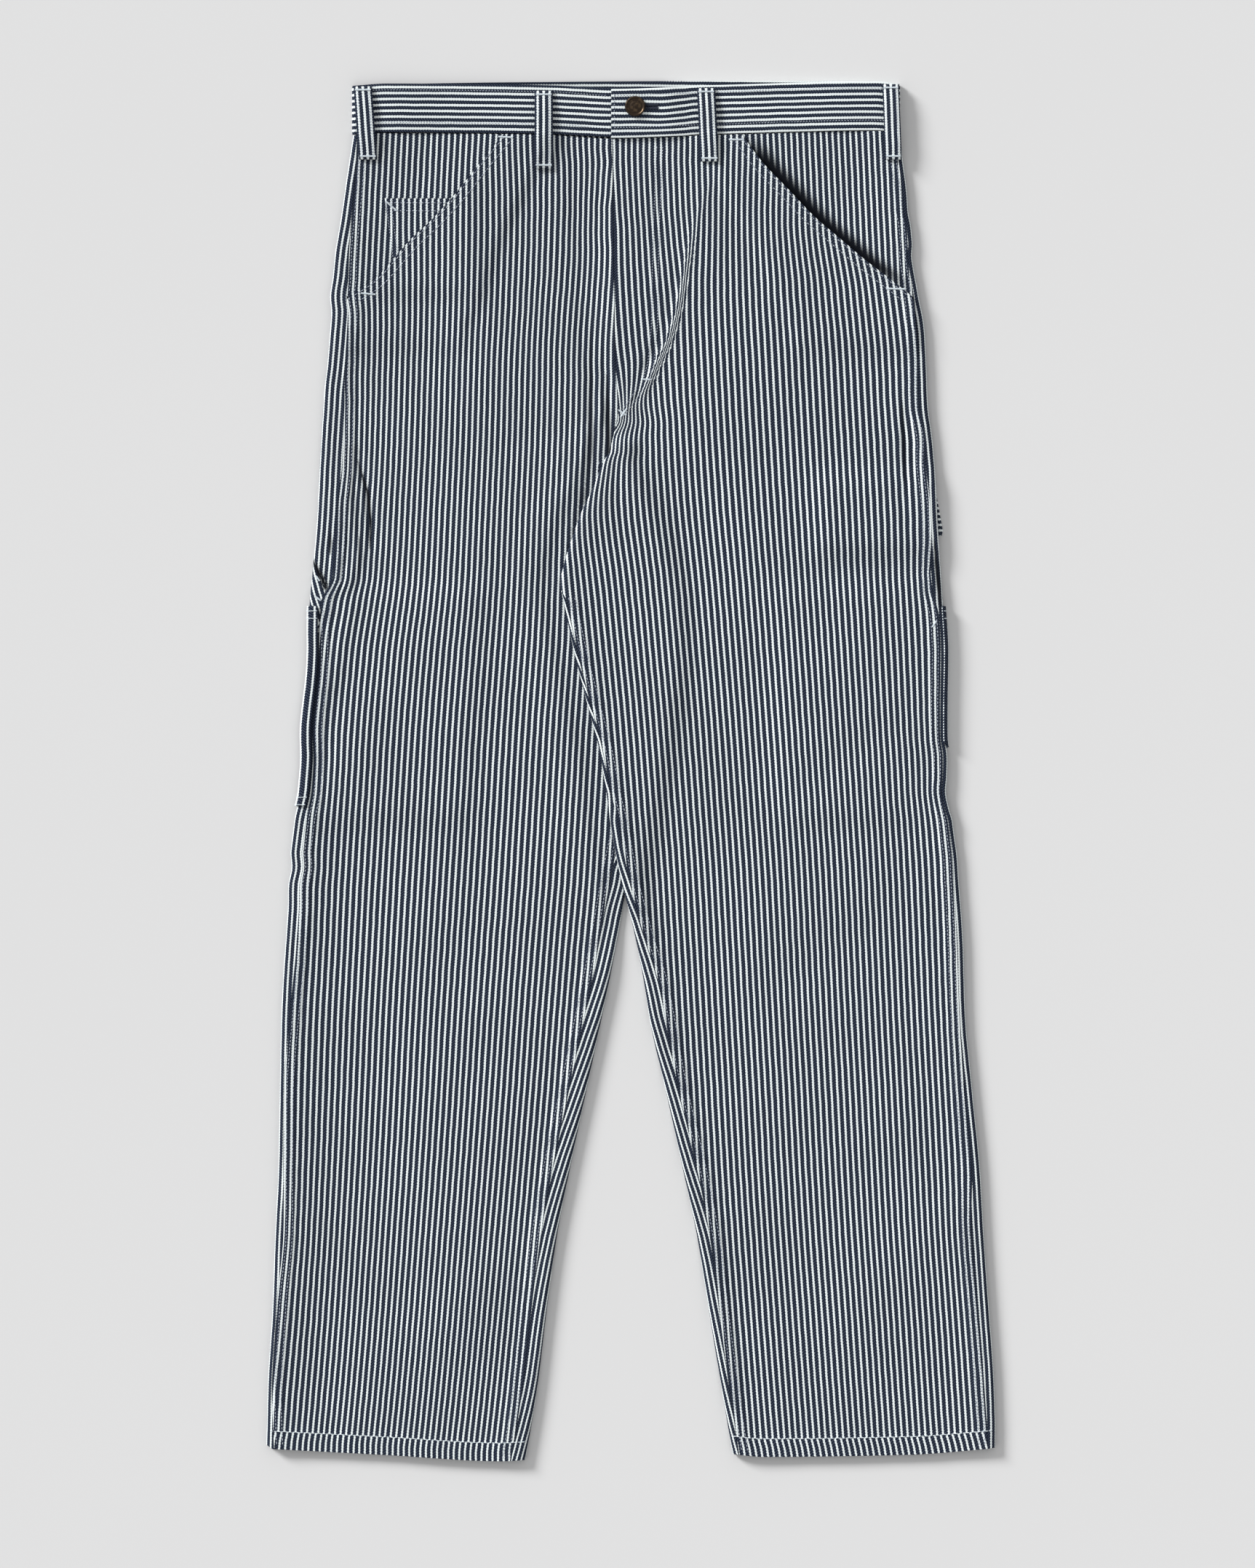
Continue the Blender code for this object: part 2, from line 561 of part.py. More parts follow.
def turned(edge, inward, way):
    """(x, z) round the band's folded side, from the upper face to the under one or back."""
    angles = [math.pi / 2 * k / 2 * way for k in (2, 1, 0, -1, -2)]
    return [(edge + inward * BAND_ROLL * (1 - math.cos(a)), BAND_ROLL * (1 + math.sin(a))) for a in angles]


def waistband(collection):
    rows = []
    for step in range(4):
        row = []
        for x, z, layer in band_spots():
            sag = curve_at(FRONT_BAND_SAG, x)
            if layer == "back":
                sag = curve_at(BACK_BAND_SAG, x)
            if layer == "turn":
                sag = mix(curve_at(BACK_BAND_SAG, x), sag, z / (2 * BAND_ROLL))
            row.append((x, sag + BAND_DEPTH * step / 3, z))
        rows.append(row[::-1])
    return cloth("waistband", rows, collection, wall=BAND_WALL)


def buttonhole(band, cutters):
    """Cuts the keyhole buttonhole through the overlapping end of the band."""
    low = (5.2 + SEAM_GAP / 2) * MM
    eye = bmesh.new()
    bmesh.ops.create_cone(
        eye, cap_ends=True, segments=16, radius1=EYE_RADIUS * MM, radius2=EYE_RADIUS * MM, depth=8 * MM
    )
    bmesh.ops.translate(eye, verts=eye.verts, vec=(BUTTON_X * MM, -BUTTON_DROP * MM, low + 4 * MM))
    slot = bmesh.new()
    bmesh.ops.create_cube(slot, size=1.0)
    length = SLOT_END - BUTTON_X
    bmesh.ops.scale(slot, verts=slot.verts, vec=(length * MM, SLOT_WIDTH * MM, 8 * MM))
    middle = (BUTTON_X + length / 2) * MM
    bmesh.ops.translate(slot, verts=slot.verts, vec=(middle, -BUTTON_DROP * MM, low + 4 * MM))
    for name, shape in (("buttonhole_eye", eye), ("buttonhole_slot", slot)):
        mesh = bpy.data.meshes.new(name)
        shape.to_mesh(mesh)
        shape.free()
        cutter = bpy.data.objects.new(name, mesh)
        cutters.objects.link(cutter)
        cutter.hide_render = True
        cutter.display_type = "WIRE"
        cut = band.modifiers.new(name, "BOOLEAN")
        cut.operation = "DIFFERENCE"
        cut.solver = "EXACT"
        cut.object = cutter


def button(collection):
    """A shank button: its post stands on the underlap and passes the buttonhole; the cap has a raised rim."""
    foot = 5.2 + SEAM_GAP
    cap = 5.2 + SEAM_GAP + BAND_WALL + SEAM_GAP
    profile = [
        (0.0, cap + 2.6), (BUTTON_RADIUS * 0.45, cap + 2.4), (BUTTON_RADIUS * 0.76, cap + 1.9),
        (BUTTON_RADIUS * 0.84, cap + 2.4), (BUTTON_RADIUS * 0.94, cap + 2.2), (BUTTON_RADIUS, cap + 1.3),
        (BUTTON_RADIUS * 0.95, cap + 0.4), (BUTTON_RADIUS * 0.82, cap), (SHANK_RADIUS, cap + 0.3),
        (SHANK_RADIUS, foot), (0.0, foot),
    ]
    shape = bmesh.new()
    verts = [shape.verts.new((r * MM, 0.0, z * MM)) for r, z in profile]
    for a, b in zip(verts, verts[1:]):
        shape.edges.new((a, b))
    mesh = bpy.data.meshes.new("button")
    shape.to_mesh(mesh)
    shape.free()
    made = place("button", mesh, collection, DARK_BRASS, 0.38, 0.9)
    made.location = (BUTTON_X * MM, -BUTTON_DROP * MM, 0.0)
    turn = made.modifiers.new("turn", "SCREW")
    turn.axis = "Z"
    turn.steps = 24
    turn.render_steps = 24
    turn.use_merge_vertices = True
    turn.merge_threshold = 0.00002
    turn.use_smooth_shade = True
    return made


def band_top(x):
    """Height of the band's upper face at x."""
    upper = [(spot[0], spot[1]) for spot in band_spots() if spot[2] == "front"]
    if x < BAND_END:
        upper = sorted(upper[1:9])
    else:
        upper = sorted(upper[9:])
    return curve_at(upper, x)


def belt_loop(loop, collection):
    """A folded strip sewn down at both ends, over the band and onto the front below it."""
    half = RIGHT if loop.top_x < 0 else LEFT
    rows = []
    steps = 9
    for j in range(steps + 1):
        part = j / steps
        drop = mix(loop.top, loop.bottom, part)
        centre = mix(loop.top_x, loop.bottom_x, part)
        row = []
        for k in range(4):
            x = centre + loop.width * (k / 3 - 0.5)
            inside = min(max(x, BAND_RIGHT + BAND_ROLL), BAND_LEFT - BAND_ROLL)
            over_band = band_top(inside)
            over_front = cover_height(half, inside, max(drop, ROWS[0]))
            z = mix(over_band, over_front, ramp(drop, BAND_DEPTH + 3, BAND_DEPTH + 12))
            z = max(z, over_front) if drop > BAND_DEPTH else z
            arch = LOOP_ARCH * ramp(part, 0.05, 0.25) * (1.0 - ramp(part, 0.75, 0.97))
            row.append((x, drop, z + LOOP_CLEARANCE + LOOP_WALL + arch))
        rows.append(row)
    return cloth(loop.name, rows, collection, wall=LOOP_WALL, colour=PALE)


def hammer_loop(collection):
    """A wide strap folded on itself, held under the left thigh, its fold standing out at the side."""
    roll = HAMMER_LOOP["roll"]
    fold = HAMMER_LOOP["fold"]
    run = [(HAMMER_LOOP["upper_end"], 2 * roll), (fold - 16, 2 * roll)]
    for k in range(5):
        angle = math.pi / 2 - math.pi * k / 4
        run.append((fold - roll + roll * math.cos(angle), roll * (1 + math.sin(angle))))
    run += [(x, 0.0) for x in (fold - 16, fold - 46, HAMMER_LOOP["inner"])]
    rows = [[(x, drop, z) for x, z in run] for drop in (HAMMER_LOOP["top"], 336.0, HAMMER_LOOP["bottom"])]
    return cloth("hammer_loop", rows, collection, colour=PALE)


def clear_scene():
    for item in list(bpy.data.objects):
        bpy.data.objects.remove(item)


def new_collection(name):
    made = bpy.data.collections.new(name)
    bpy.context.scene.collection.children.link(made)
    return made


def centre_on_floor(trousers, cutters):
    """Moves everything so that the origin is under the middle of the whole, on the table."""
    bpy.context.view_layer.update()
    graph = bpy.context.evaluated_depsgraph_get()
    spots = []
    for item in trousers.objects:
        mesh = item.evaluated_get(graph).to_mesh()
        spots += [item.matrix_world @ vert.co for vert in mesh.vertices]
    middle = [(min(spot[k] for spot in spots) + max(spot[k] for spot in spots)) / 2 for k in (0, 1)]
    lowest = min(spot[2] for spot in spots)
    for item in list(trousers.objects) + list(cutters.objects):
        item.location.x -= middle[0]
        item.location.y -= middle[1]
        item.location.z -= lowest


def build():
    clear_scene()
    trousers = new_collection("painter_trousers")
    cutters = new_collection("cutters")
    for name, half in (("right", RIGHT), ("left", LEFT)):
        panel(name + "_front", half, front_row, ROWS, trousers, hemmed=True)
        panel(name + "_back", half, back_row, ROWS, trousers, BACK_BAND_SAG, hemmed=True)
        facing_drops = [drop for drop in ROWS if drop <= 166] + [177, 190]
        panel(name + "_pocket_facing", half, facing_row, facing_drops, trousers)
        tool_drops = [drop for drop in ROWS if half.tool.top <= drop <= half.tool.bottom]
        panel(name + "_tool_pocket", half, tool_row, tool_drops, trousers)
    panel("watch_pocket", RIGHT, watch_row, [90, 110, 130, 150], trousers)
    band = waistband(trousers)
    buttonhole(band, cutters)
    button(trousers)
    for loop in BELT_LOOPS:
        belt_loop(loop, trousers)
    hammer_loop(trousers)
    centre_on_floor(trousers, cutters)


build()
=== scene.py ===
"""The looks of a pair of striped painter trousers, laid flat on their back with one leg over the other.

The sections follow the trousers as they are put together: the legs, the hand pockets, the tool pockets
and hammer loop, the waistband with its loops and button, and last the table, light and camera. Sizes
are in millimetres until a mesh is made. "Drop" is the distance down from the waist edge, x runs from
the wearer's right (negative) to the left, and z is the height above the table.
"""

import math
from collections import namedtuple

import bmesh
import bpy
import numpy as np
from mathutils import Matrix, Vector


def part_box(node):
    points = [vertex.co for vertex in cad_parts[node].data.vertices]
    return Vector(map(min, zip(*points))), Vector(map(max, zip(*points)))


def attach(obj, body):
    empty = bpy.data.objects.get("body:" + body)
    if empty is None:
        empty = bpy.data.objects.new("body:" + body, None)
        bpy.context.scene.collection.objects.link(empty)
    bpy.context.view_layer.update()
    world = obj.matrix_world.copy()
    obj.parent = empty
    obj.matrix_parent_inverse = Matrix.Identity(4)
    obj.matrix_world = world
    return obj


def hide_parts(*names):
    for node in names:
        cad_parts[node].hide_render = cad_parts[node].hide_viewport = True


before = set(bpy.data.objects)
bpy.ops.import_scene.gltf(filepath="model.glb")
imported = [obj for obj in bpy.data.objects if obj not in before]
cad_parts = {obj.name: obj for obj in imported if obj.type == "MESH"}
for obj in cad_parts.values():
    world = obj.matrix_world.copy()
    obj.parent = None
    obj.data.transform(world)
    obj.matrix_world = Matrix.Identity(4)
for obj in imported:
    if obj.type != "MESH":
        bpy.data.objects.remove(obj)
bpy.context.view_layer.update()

# ---- Lower leg (the wearer's right): front and back ---------------------------------------------
# Two lengths of striped cotton twill, joined by felled side and inner seams and turned up at the hem.
# The leg lies flat on its back, its inner part pressed down under the other leg.

MM = 0.001
WALL = 1.2
SEAM_GAP = 0.3
WAIST_GAP = 0.6
EDGE_CELL = 0.4
LAYER = 2.0
FOLDED_STRAP = 3.6

HIP_LEVEL = 4.4
LEG_LEVEL = 4.0
HEM_LEVEL = 5.2
FLY_LEVEL = 5.2
PRESSED_LEVEL = 3.0
CROSSED_LEVEL = 3.6
MOST_OVER_BACK = 6.6
LEAST_OVER_BACK = 2.7

EDGE_ROLL = 3.1
SLIM_ROLL = 2.3
PRESSED_ROLL = 1.5

BAND_DEPTH = 38.0
BAND_RIGHT = -217.2
HIGHEST_SAG = -2.2
WAIST_SEAM = 40.0
HEM_LINE = 1064.0
HEM_DEPTH = 14.0
HEM_ROW = HEM_LINE - HEM_DEPTH
HEM_BREAK = (HEM_ROW - 0.25, HEM_ROW + 0.25)
ROW_STEP = 3.5

STRIPE = 4.6

Outer = namedtuple("Outer", "drop edge seam")
Inner = namedtuple("Inner", "drop edge front back")
Line = namedtuple("Line", "drop x")
Grain = namedtuple("Grain", "drop middle pitch")
Edge = namedtuple("Edge", "x inward base radius")
Crease = namedtuple("Crease", "x0 drop0 x1 drop1 width height")
Pocket = namedtuple("Pocket", "top bottom wrap under")

RIGHT_OUTER = [
    Outer(40, -216.3, 3.5), Outer(76, -221.7, 7.0), Outer(105, -225.7, 8.5), Outer(133, -230.2, 11.0),
    Outer(166, -233.0, 13.0), Outer(190, -234.7, 13.5), Outer(218, -236.4, 14.0), Outer(252, -238.7, 16.5),
    Outer(298, -241.5, 17.5), Outer(332, -243.2, 15.0), Outer(366, -245.5, 16.0), Outer(385, -246.8, 16.5),
    Outer(404, -248.4, 9.0), Outer(445, -249.4, 7.5), Outer(502, -255.1, 8.0), Outer(562, -259.0, 9.0),
    Outer(624, -265.6, 9.0), Outer(672, -268.8, 9.0), Outer(728, -271.6, 6.5), Outer(785, -272.8, 3.5),
    Outer(842, -273.9, 4.0), Outer(898, -276.7, 6.5), Outer(955, -278.8, 3.4), Outer(1012, -282.4, 3.4),
    Outer(1064, -283.8, 6.0),
]
CENTRE = [
    Line(40, -14.2), Line(120, -13.3), Line(216, -11.9), Line(242, -10.4), Line(256, -9.8), Line(266, -11.2),
    Line(272, -13.2),
]
RIGHT_INNER = [
    Inner(276, -12.0, 1.9, -0.7), Inner(280, -12.5, 2.3, 0.3), Inner(286, -13.5, 3.0, 2.3),
    Inner(294, -12.0, 5.4, 4.9), Inner(304, -5.0, 13.2, 12.9), Inner(318, 2.0, 14.2, 13.9),
    Inner(350, 16.0, 14.2, 13.9), Inner(380, 24.0, 14.2, 13.9), Inner(405, 28.5, 14.2, 13.9),
    Inner(440, 30.0, 14.2, 13.9), Inner(502, 22.0, 14.2, 13.9), Inner(575, 7.5, 14.2, 13.9),
    Inner(624, -3.0, 13.7, 13.4), Inner(655, -8.3, 13.7, 13.4), Inner(700, -16.8, 13.7, 13.4),
    Inner(728, -22.6, 13.7, 13.4), Inner(785, -34.6, 13.7, 13.4), Inner(842, -46.6, 13.7, 13.4),
    Inner(898, -57.4, 12.7, 12.4), Inner(955, -65.4, 12.2, 11.9), Inner(1012, -73.0, 11.7, 11.4),
    Inner(1064, -82.2, 11.2, 10.9),
]
RIGHT_MOUTH = [
    Line(40, -99.0), Line(62, -117.0), Line(84, -134.5), Line(104, -152.5), Line(122, -171.5),
    Line(139, -186.5), Line(153, -199.6), Line(166, -219.8),
]
RIGHT_FACING_END = [Line(40, -75.0), Line(84, -95.0), Line(122, -114.0), Line(166, -129.0), Line(190, -142.0)]
RIGHT_HEM_SAG = [(-284.0, 0.0), (-190.0, 5.0), (-101.0, 9.8), (-82.0, 8.8)]
FRONT_BAND_SAG = [
    (-217.0, 2.0), (-190.0, 0.2), (-60.0, 1.8), (-14.0, 4.6), (60.0, 2.0), (190.0, -1.4), (210.0, 0.6),
]
BACK_BAND_SAG = [(-217.0, 2.0), (-180.0, 0.4), (-100.0, -1.0), (100.0, -2.2), (180.0, -1.8), (210.0, 0.6)]
# How the stripes run down a front: the place of its middle stripe, and the distance between stripes.
RIGHT_GRAIN = [
    Grain(48, -123.4, 4.43), Grain(105, -123.4, 4.67), Grain(162, -124.3, 4.56), Grain(218, -126.5, 4.46),
    Grain(275, -128.2, 4.48), Grain(332, -130.9, 4.49), Grain(388, -133.7, 4.55), Grain(445, -139.0, 4.72),
    Grain(502, -143.6, 4.75), Grain(559, -147.1, 4.76), Grain(615, -150.6, 4.76), Grain(672, -154.3, 4.71),
    Grain(729, -158.0, 4.66), Grain(785, -161.1, 4.60), Grain(842, -164.7, 4.53), Grain(898, -168.8, 4.47),
    Grain(955, -173.3, 4.41), Grain(1012, -178.7, 4.36), Grain(1057, -183.6, 4.32),
]

LEFT_OUTER = [
    Outer(40, 209.8, 3.4), Outer(76, 213.2, 3.4), Outer(105, 215.5, 3.4), Outer(133, 218.3, 3.4),
    Outer(166, 223.0, 4.0), Outer(190, 227.5, 6.5), Outer(218, 229.3, 6.5), Outer(252, 231.2, 7.0),
    Outer(276, 234.0, 5.0), Outer(298, 235.6, 7.0), Outer(332, 237.6, 5.0), Outer(366, 239.8, 4.5),
    Outer(404, 242.2, 3.4), Outer(445, 244.2, 3.5), Outer(502, 244.4, 3.4), Outer(562, 247.6, 3.4),
    Outer(624, 255.2, 4.0), Outer(672, 259.1, 5.0), Outer(728, 260.8, 4.5), Outer(785, 265.4, 6.0),
    Outer(842, 271.0, 6.5), Outer(898, 274.4, 9.5), Outer(955, 278.4, 9.0), Outer(1012, 282.4, 8.0),
    Outer(1064, 284.1, 6.0),
]
LEFT_INNER = [
    Inner(276, -15.3, 1.7, -3.3), Inner(280, -15.4, 0.0, -4.7), Inner(286, -15.6, -2.5, -5.0),
    Inner(294, -21.0, -5.7, -6.0), Inner(304, -25.0, -5.8, -6.1), Inner(318, -30.8, -5.8, -6.1),
    Inner(336, -39.2, -5.8, -6.1), Inner(356, -46.2, -5.8, -6.1), Inner(376, -52.4, -5.0, -5.5),
    Inner(390, -55.0, -1.4, -2.2), Inner(406, -51.8, 2.8, 2.5), Inner(440, -44.8, 2.8, 2.5),
    Inner(480, -34.8, 2.8, 2.5), Inner(520, -24.4, 2.8, 2.5), Inner(550, -19.4, 3.6, 3.3),
    Inner(583, -14.9, 6.6, 6.3), Inner(624, -6.8, 6.4, 6.1), Inner(655, 1.2, 6.6, 6.3),
    Inner(700, 10.2, 11.2, 10.9), Inner(728, 14.4, 12.6, 12.3), Inner(785, 27.2, 10.2, 9.9),
    Inner(842, 39.7, 11.2, 10.9), Inner(898, 51.5, 10.2, 9.9), Inner(955, 60.7, 8.2, 7.9),
    Inner(1012, 70.4, 6.2, 5.9), Inner(1064, 79.4, 5.2, 4.9),
]
LEFT_MOUTH = [
    Line(40, 86.5), Line(62, 102.5), Line(84, 123.5), Line(104, 143.0), Line(122, 164.0), Line(139, 184.0),
    Line(153, 202.5), Line(166, 219.0),
]
LEFT_FACING_END = [Line(40, 62.0), Line(84, 86.0), Line(122, 108.0), Line(166, 127.0), Line(190, 140.0)]
LEFT_HEM_SAG = [(79.0, 4.2), (104.0, 6.4), (216.0, 4.8), (284.0, -0.4)]
LEFT_GRAIN = [
    Grain(48, 82.7, 4.55), Grain(105, 81.8, 4.50), Grain(162, 82.6, 4.90), Grain(218, 85.3, 5.04),
    Grain(275, 88.5, 5.04), Grain(332, 92.3, 5.00), Grain(388, 97.1, 4.87), Grain(445, 101.7, 4.81),
    Grain(502, 106.1, 4.76), Grain(559, 110.2, 4.74), Grain(615, 114.2, 4.72), Grain(672, 117.3, 4.70),
    Grain(729, 120.4, 4.68), Grain(785, 123.7, 4.67), Grain(842, 126.8, 4.66), Grain(898, 130.4, 4.64),
    Grain(955, 134.8, 4.63), Grain(1012, 139.4, 4.60), Grain(1057, 143.2, 4.57),
]

# Small waves of the outlines, finer than the tables above.
RIGHT_WAVES = [
    (40, 0.0), (150, -0.4), (165, -1.4), (180, 0.6), (215, 0.0), (240, -0.9), (345, -0.8), (385, -1.6),
    (405, -1.8), (470, -0.8), (500, -0.8), (530, 1.2), (552, 0.6), (575, -2.0), (598, -2.2), (612, 0.0),
    (625, -1.2), (645, -0.2), (700, -0.7), (1064, -0.2),
]
LEFT_WAVES = [
    (40, 0.0), (60, 0.3), (88, 1.4), (100, 1.2), (112, 2.4), (124, 2.4), (136, 0.6), (167, 1.4),
    (212, 1.2), (250, 0.6), (310, 1.4), (345, 0.8), (440, 1.2), (488, 0.4), (510, 0.3), (523, 1.8),
    (540, 0.6), (553, -1.2), (565, 0.2), (576, 2.0), (598, 2.0), (625, 0.6), (700, 0.0), (800, 0.9),
    (1040, 0.7), (1064, 0.0),
]

# How far a side seam is drawn in by the fold above the tool pocket.
RIGHT_DRAWN = [(40, 0.0), (1064, 0.0)]
LEFT_DRAWN = [
    (40, 0.0), (334, 0.0), (356, 0.5), (372, 2.6), (383, 4.3), (394, 4.3), (405, 2.2), (415, 0.4),
    (424, 0.0), (1064, 0.0),
]

RIGHT_TOOL = Pocket(410.0, 556.0, 6.6, 112.0)
LEFT_TOOL = Pocket(410.0, 556.0, 1.6, 112.0)
HAMMER_LOOP = {"top": 320.0, "bottom": 352.0, "inner": 166.0, "fold": 243.8, "upper_end": 212.0, "roll": 1.5}
WATCH = {"top": 90.0, "bottom": 150.0, "inner": -139.0, "outer_top": -191.6, "outer_bottom": -183.0}

# The folds in the upper faces, each a soft ridge (or trough, below zero) along a line.
CREASES = [
    Crease(-30, 60, -26, 250, 16, -1.1), Crease(67, 70, 18, 225, 15, 1.2),
    Crease(44, 110, 12, 262, 12, -0.9), Crease(-212, 290, -203, 356, 11, -1.2),
    Crease(-238, 372, -222, 395, 12, 1.0), Crease(-228, 560, -196, 470, 14, 0.9),
    Crease(222, 256, 214, 322, 11, -1.2), Crease(196, 330, 176, 470, 18, 0.9),
    Crease(-128, 330, -150, 640, 34, 0.9), Crease(112, 340, 150, 700, 34, 0.9),
    Crease(-190, 700, -214, 1000, 26, -0.8), Crease(-110, 760, -132, 1010, 24, 0.8),
    Crease(206, 760, 226, 1010, 26, 0.8), Crease(120, 800, 150, 1030, 26, -0.7),
    # The pull from the lower end of the fly, narrow and sharp.
    Crease(58, 80, 44, 140, 3.4, 0.7), Crease(45, 130, 33, 190, 3.2, 1.0),
    Crease(35, 182, 8, 244, 3.0, 1.2), Crease(39, 140, 27, 194, 3.2, -0.9),
    Crease(28, 190, 2, 246, 3.2, -1.2), Crease(12, 225, -6, 256, 2.2, 1.1),
    Crease(-20, 215, -18, 272, 3.5, -1.4), Crease(-27, 190, -23, 268, 3.0, 0.6),
    Crease(-38, 150, -34, 260, 4.0, -0.6), Crease(-8, 276, 26, 380, 5.0, 0.6),
    Crease(-2, 272, 74, 350, 9.0, -0.6), Crease(4, 266, 120, 300, 9.0, -0.5),
    Crease(-14, 292, -4, 372, 3.5, -0.5), Crease(-26, 276, -76, 330, 6.0, -0.6),
    Crease(-26, 262, -110, 286, 7.0, -0.4),
    # The puckers beside the side seams.
    Crease(-213, 282, -203, 322, 2.8, -1.4), Crease(-204, 316, -201, 362, 2.8, -1.2),
    Crease(-222, 300, -213, 372, 3.4, 0.9), Crease(-209, 362, -221, 398, 3.6, 0.9),
    Crease(-240, 366, -232, 398, 2.4, -1.5), Crease(-215, 398, -233, 470, 5.0, 0.7),
    Crease(-226, 470, -240, 540, 5.0, -0.6), Crease(-218, 210, -212, 262, 3.0, -0.6),
    Crease(213, 246, 222, 300, 2.6, -1.2), Crease(222, 262, 229, 312, 2.6, 0.9),
    Crease(206, 300, 216, 350, 3.4, -0.7), Crease(224, 350, 236, 420, 3.2, -0.6),
    Crease(232, 600, 244, 690, 4.0, -0.6), Crease(-252, 640, -262, 720, 4.0, 0.6),
    # Slack below the waist seam, at the seat, the knees and the shins.
    Crease(-160, 40, -164, 88, 5.0, -0.5), Crease(-96, 44, -92, 96, 5.0, 0.4),
    Crease(-46, 44, -40, 120, 5.0, -0.5), Crease(26, 44, 24, 110, 5.0, -0.5),
    Crease(112, 110, 104, 210, 8.0, 0.5), Crease(150, 150, 130, 262, 9.0, -0.5),
    Crease(-120, 120, -112, 250, 10.0, 0.5), Crease(-166, 190, -150, 290, 9.0, -0.5),
    Crease(-236, 470, -128, 548, 12.0, -0.6), Crease(-60, 500, -150, 588, 14.0, 0.5),
    Crease(-206, 640, -96, 706, 14.0, -0.5), Crease(-224, 800, -120, 868, 16.0, 0.5),
    Crease(-110, 700, -160, 800, 12.0, 0.5), Crease(-100, 900, -200, 960, 14.0, -0.4),
    Crease(232, 480, 118, 560, 12.0, -0.6), Crease(60, 470, 150, 566, 14.0, 0.5),
    Crease(214, 640, 96, 720, 14.0, -0.5), Crease(240, 790, 130, 868, 16.0, 0.5),
    Crease(80, 690, 140, 800, 12.0, 0.5), Crease(108, 900, 214, 966, 14.0, -0.4),
]

# The few narrow folds that hold a dark line. Their heights are depths.
SHARP_FOLDS = [
    Crease(-214, 294, -205, 320, 2.0, 2.4), Crease(-205, 314, -202, 354, 2.0, 2.8),
    Crease(-246, 373, -236, 394, 1.9, 2.4), Crease(-222, 366, -226, 392, 2.2, 1.4),
    Crease(-17.5, 246, -17, 290, 2.4, 2.6), Crease(-31, 206, -30, 290, 3.0, 1.6),
    Crease(-30, 278, -38, 330, 3.0, 2.2), Crease(212, 256, 214.5, 316, 2.0, 2.2),
    Crease(235, 352, 240, 398, 1.9, 1.8), Crease(-30, 150, -27, 250, 5.0, 0.9),
]

# Lines of painted shade, which darken the cloth's colour in deep creases and under folds: (x, drop, half
# width) down each one, and how dark it is.
PaintedShadeLine = namedtuple("PaintedShadeLine", "points shade")
RIGHT_PAINTED_SHADE = [
    PaintedShadeLine([
        (-212.6, 295, 0.4), (-208.4, 308, 1.1), (-204.7, 320, 1.3), (-202.7, 342, 1.1), (-203.2, 362, 0.4),
    ], 1.3),
    PaintedShadeLine([(-32, 190, 0.4), (-31, 230, 1.6), (-30.5, 286, 1.8), (-36.6, 326, 2.6)], 0.70),
    PaintedShadeLine([(-19, 226, 0.4), (-17.6, 256, 1.8), (-17.0, 288, 2.6)], 0.92),
    PaintedShadeLine([(-37, 318, 3.0), (-45, 348, 2.0), (-51, 376, 0.5)], 0.66),
    PaintedShadeLine([(-248, 371, 0.9), (-243, 381, 1.6), (-237.6, 392, 1.9)], 2.2),
    PaintedShadeLine([(-234.5, 346, 0.3), (-234.0, 358, 1.6), (-234.2, 366, 0.6)], 0.9),
    PaintedShadeLine([(-211.8, 352, 0.3), (-211.6, 366, 1.0), (-212.4, 384, 0.3)], 0.7),
]
LEFT_PAINTED_SHADE = [
    PaintedShadeLine([
        (236.4, 356, 0.4), (237.6, 374, 1.4), (239.0, 388, 1.7), (240.6, 402, 1.3), (241.6, 412, 0.5),
    ], 1.2),
    PaintedShadeLine([(211.5, 250, 0.4), (213.4, 286, 1.5), (214.6, 322, 0.4)], 0.72),
]


def ramp(value, start, end):
    """0 before start, 1 after end, and smooth between them."""
    part = np.clip((value - start) / (end - start), 0.0, 1.0)
    return part * part * (3.0 - 2.0 * part)


def mix(a, b, part):
    return a + (b - a) * part


def window(value, start, end, margin):
    """1 between start and end, falling to 0 within the margin on either side."""
    return ramp(value, start - margin, start) * (1.0 - ramp(value, end, end + margin))


def curve(points):
    """A smooth function through (position, value) points that never overshoots them."""
    at, value = np.array(points, float).T
    step = np.diff(at)
    rise = np.diff(value) / step
    turn = rise[:-1] * rise[1:] > 0
    inside = np.where(turn, 2 * rise[:-1] * rise[1:] / np.where(turn, rise[:-1] + rise[1:], 1.0), 0.0)
    slope = np.concatenate([rise[:1], inside, rise[-1:]])

    def read(position):
        position = np.clip(position, at[0], at[-1])
        i = np.clip(np.searchsorted(at, position, side="right") - 1, 0, len(step) - 1)
        t = (position - at[i]) / step[i]
        bend = slope[i] * (t ** 3 - 2 * t ** 2 + t) + slope[i + 1] * (t ** 3 - t ** 2)
        return bend * step[i] + mix(value[i], value[i + 1], t * t * (3 - 2 * t))

    return read


def column(rows, name):
    return curve([(row.drop, getattr(row, name)) for row in rows])


# The drops at which an outline shows its calm course, which the stripes keep to.
CALM_DROPS = (40, 166, 445, 672, 842, 1064)


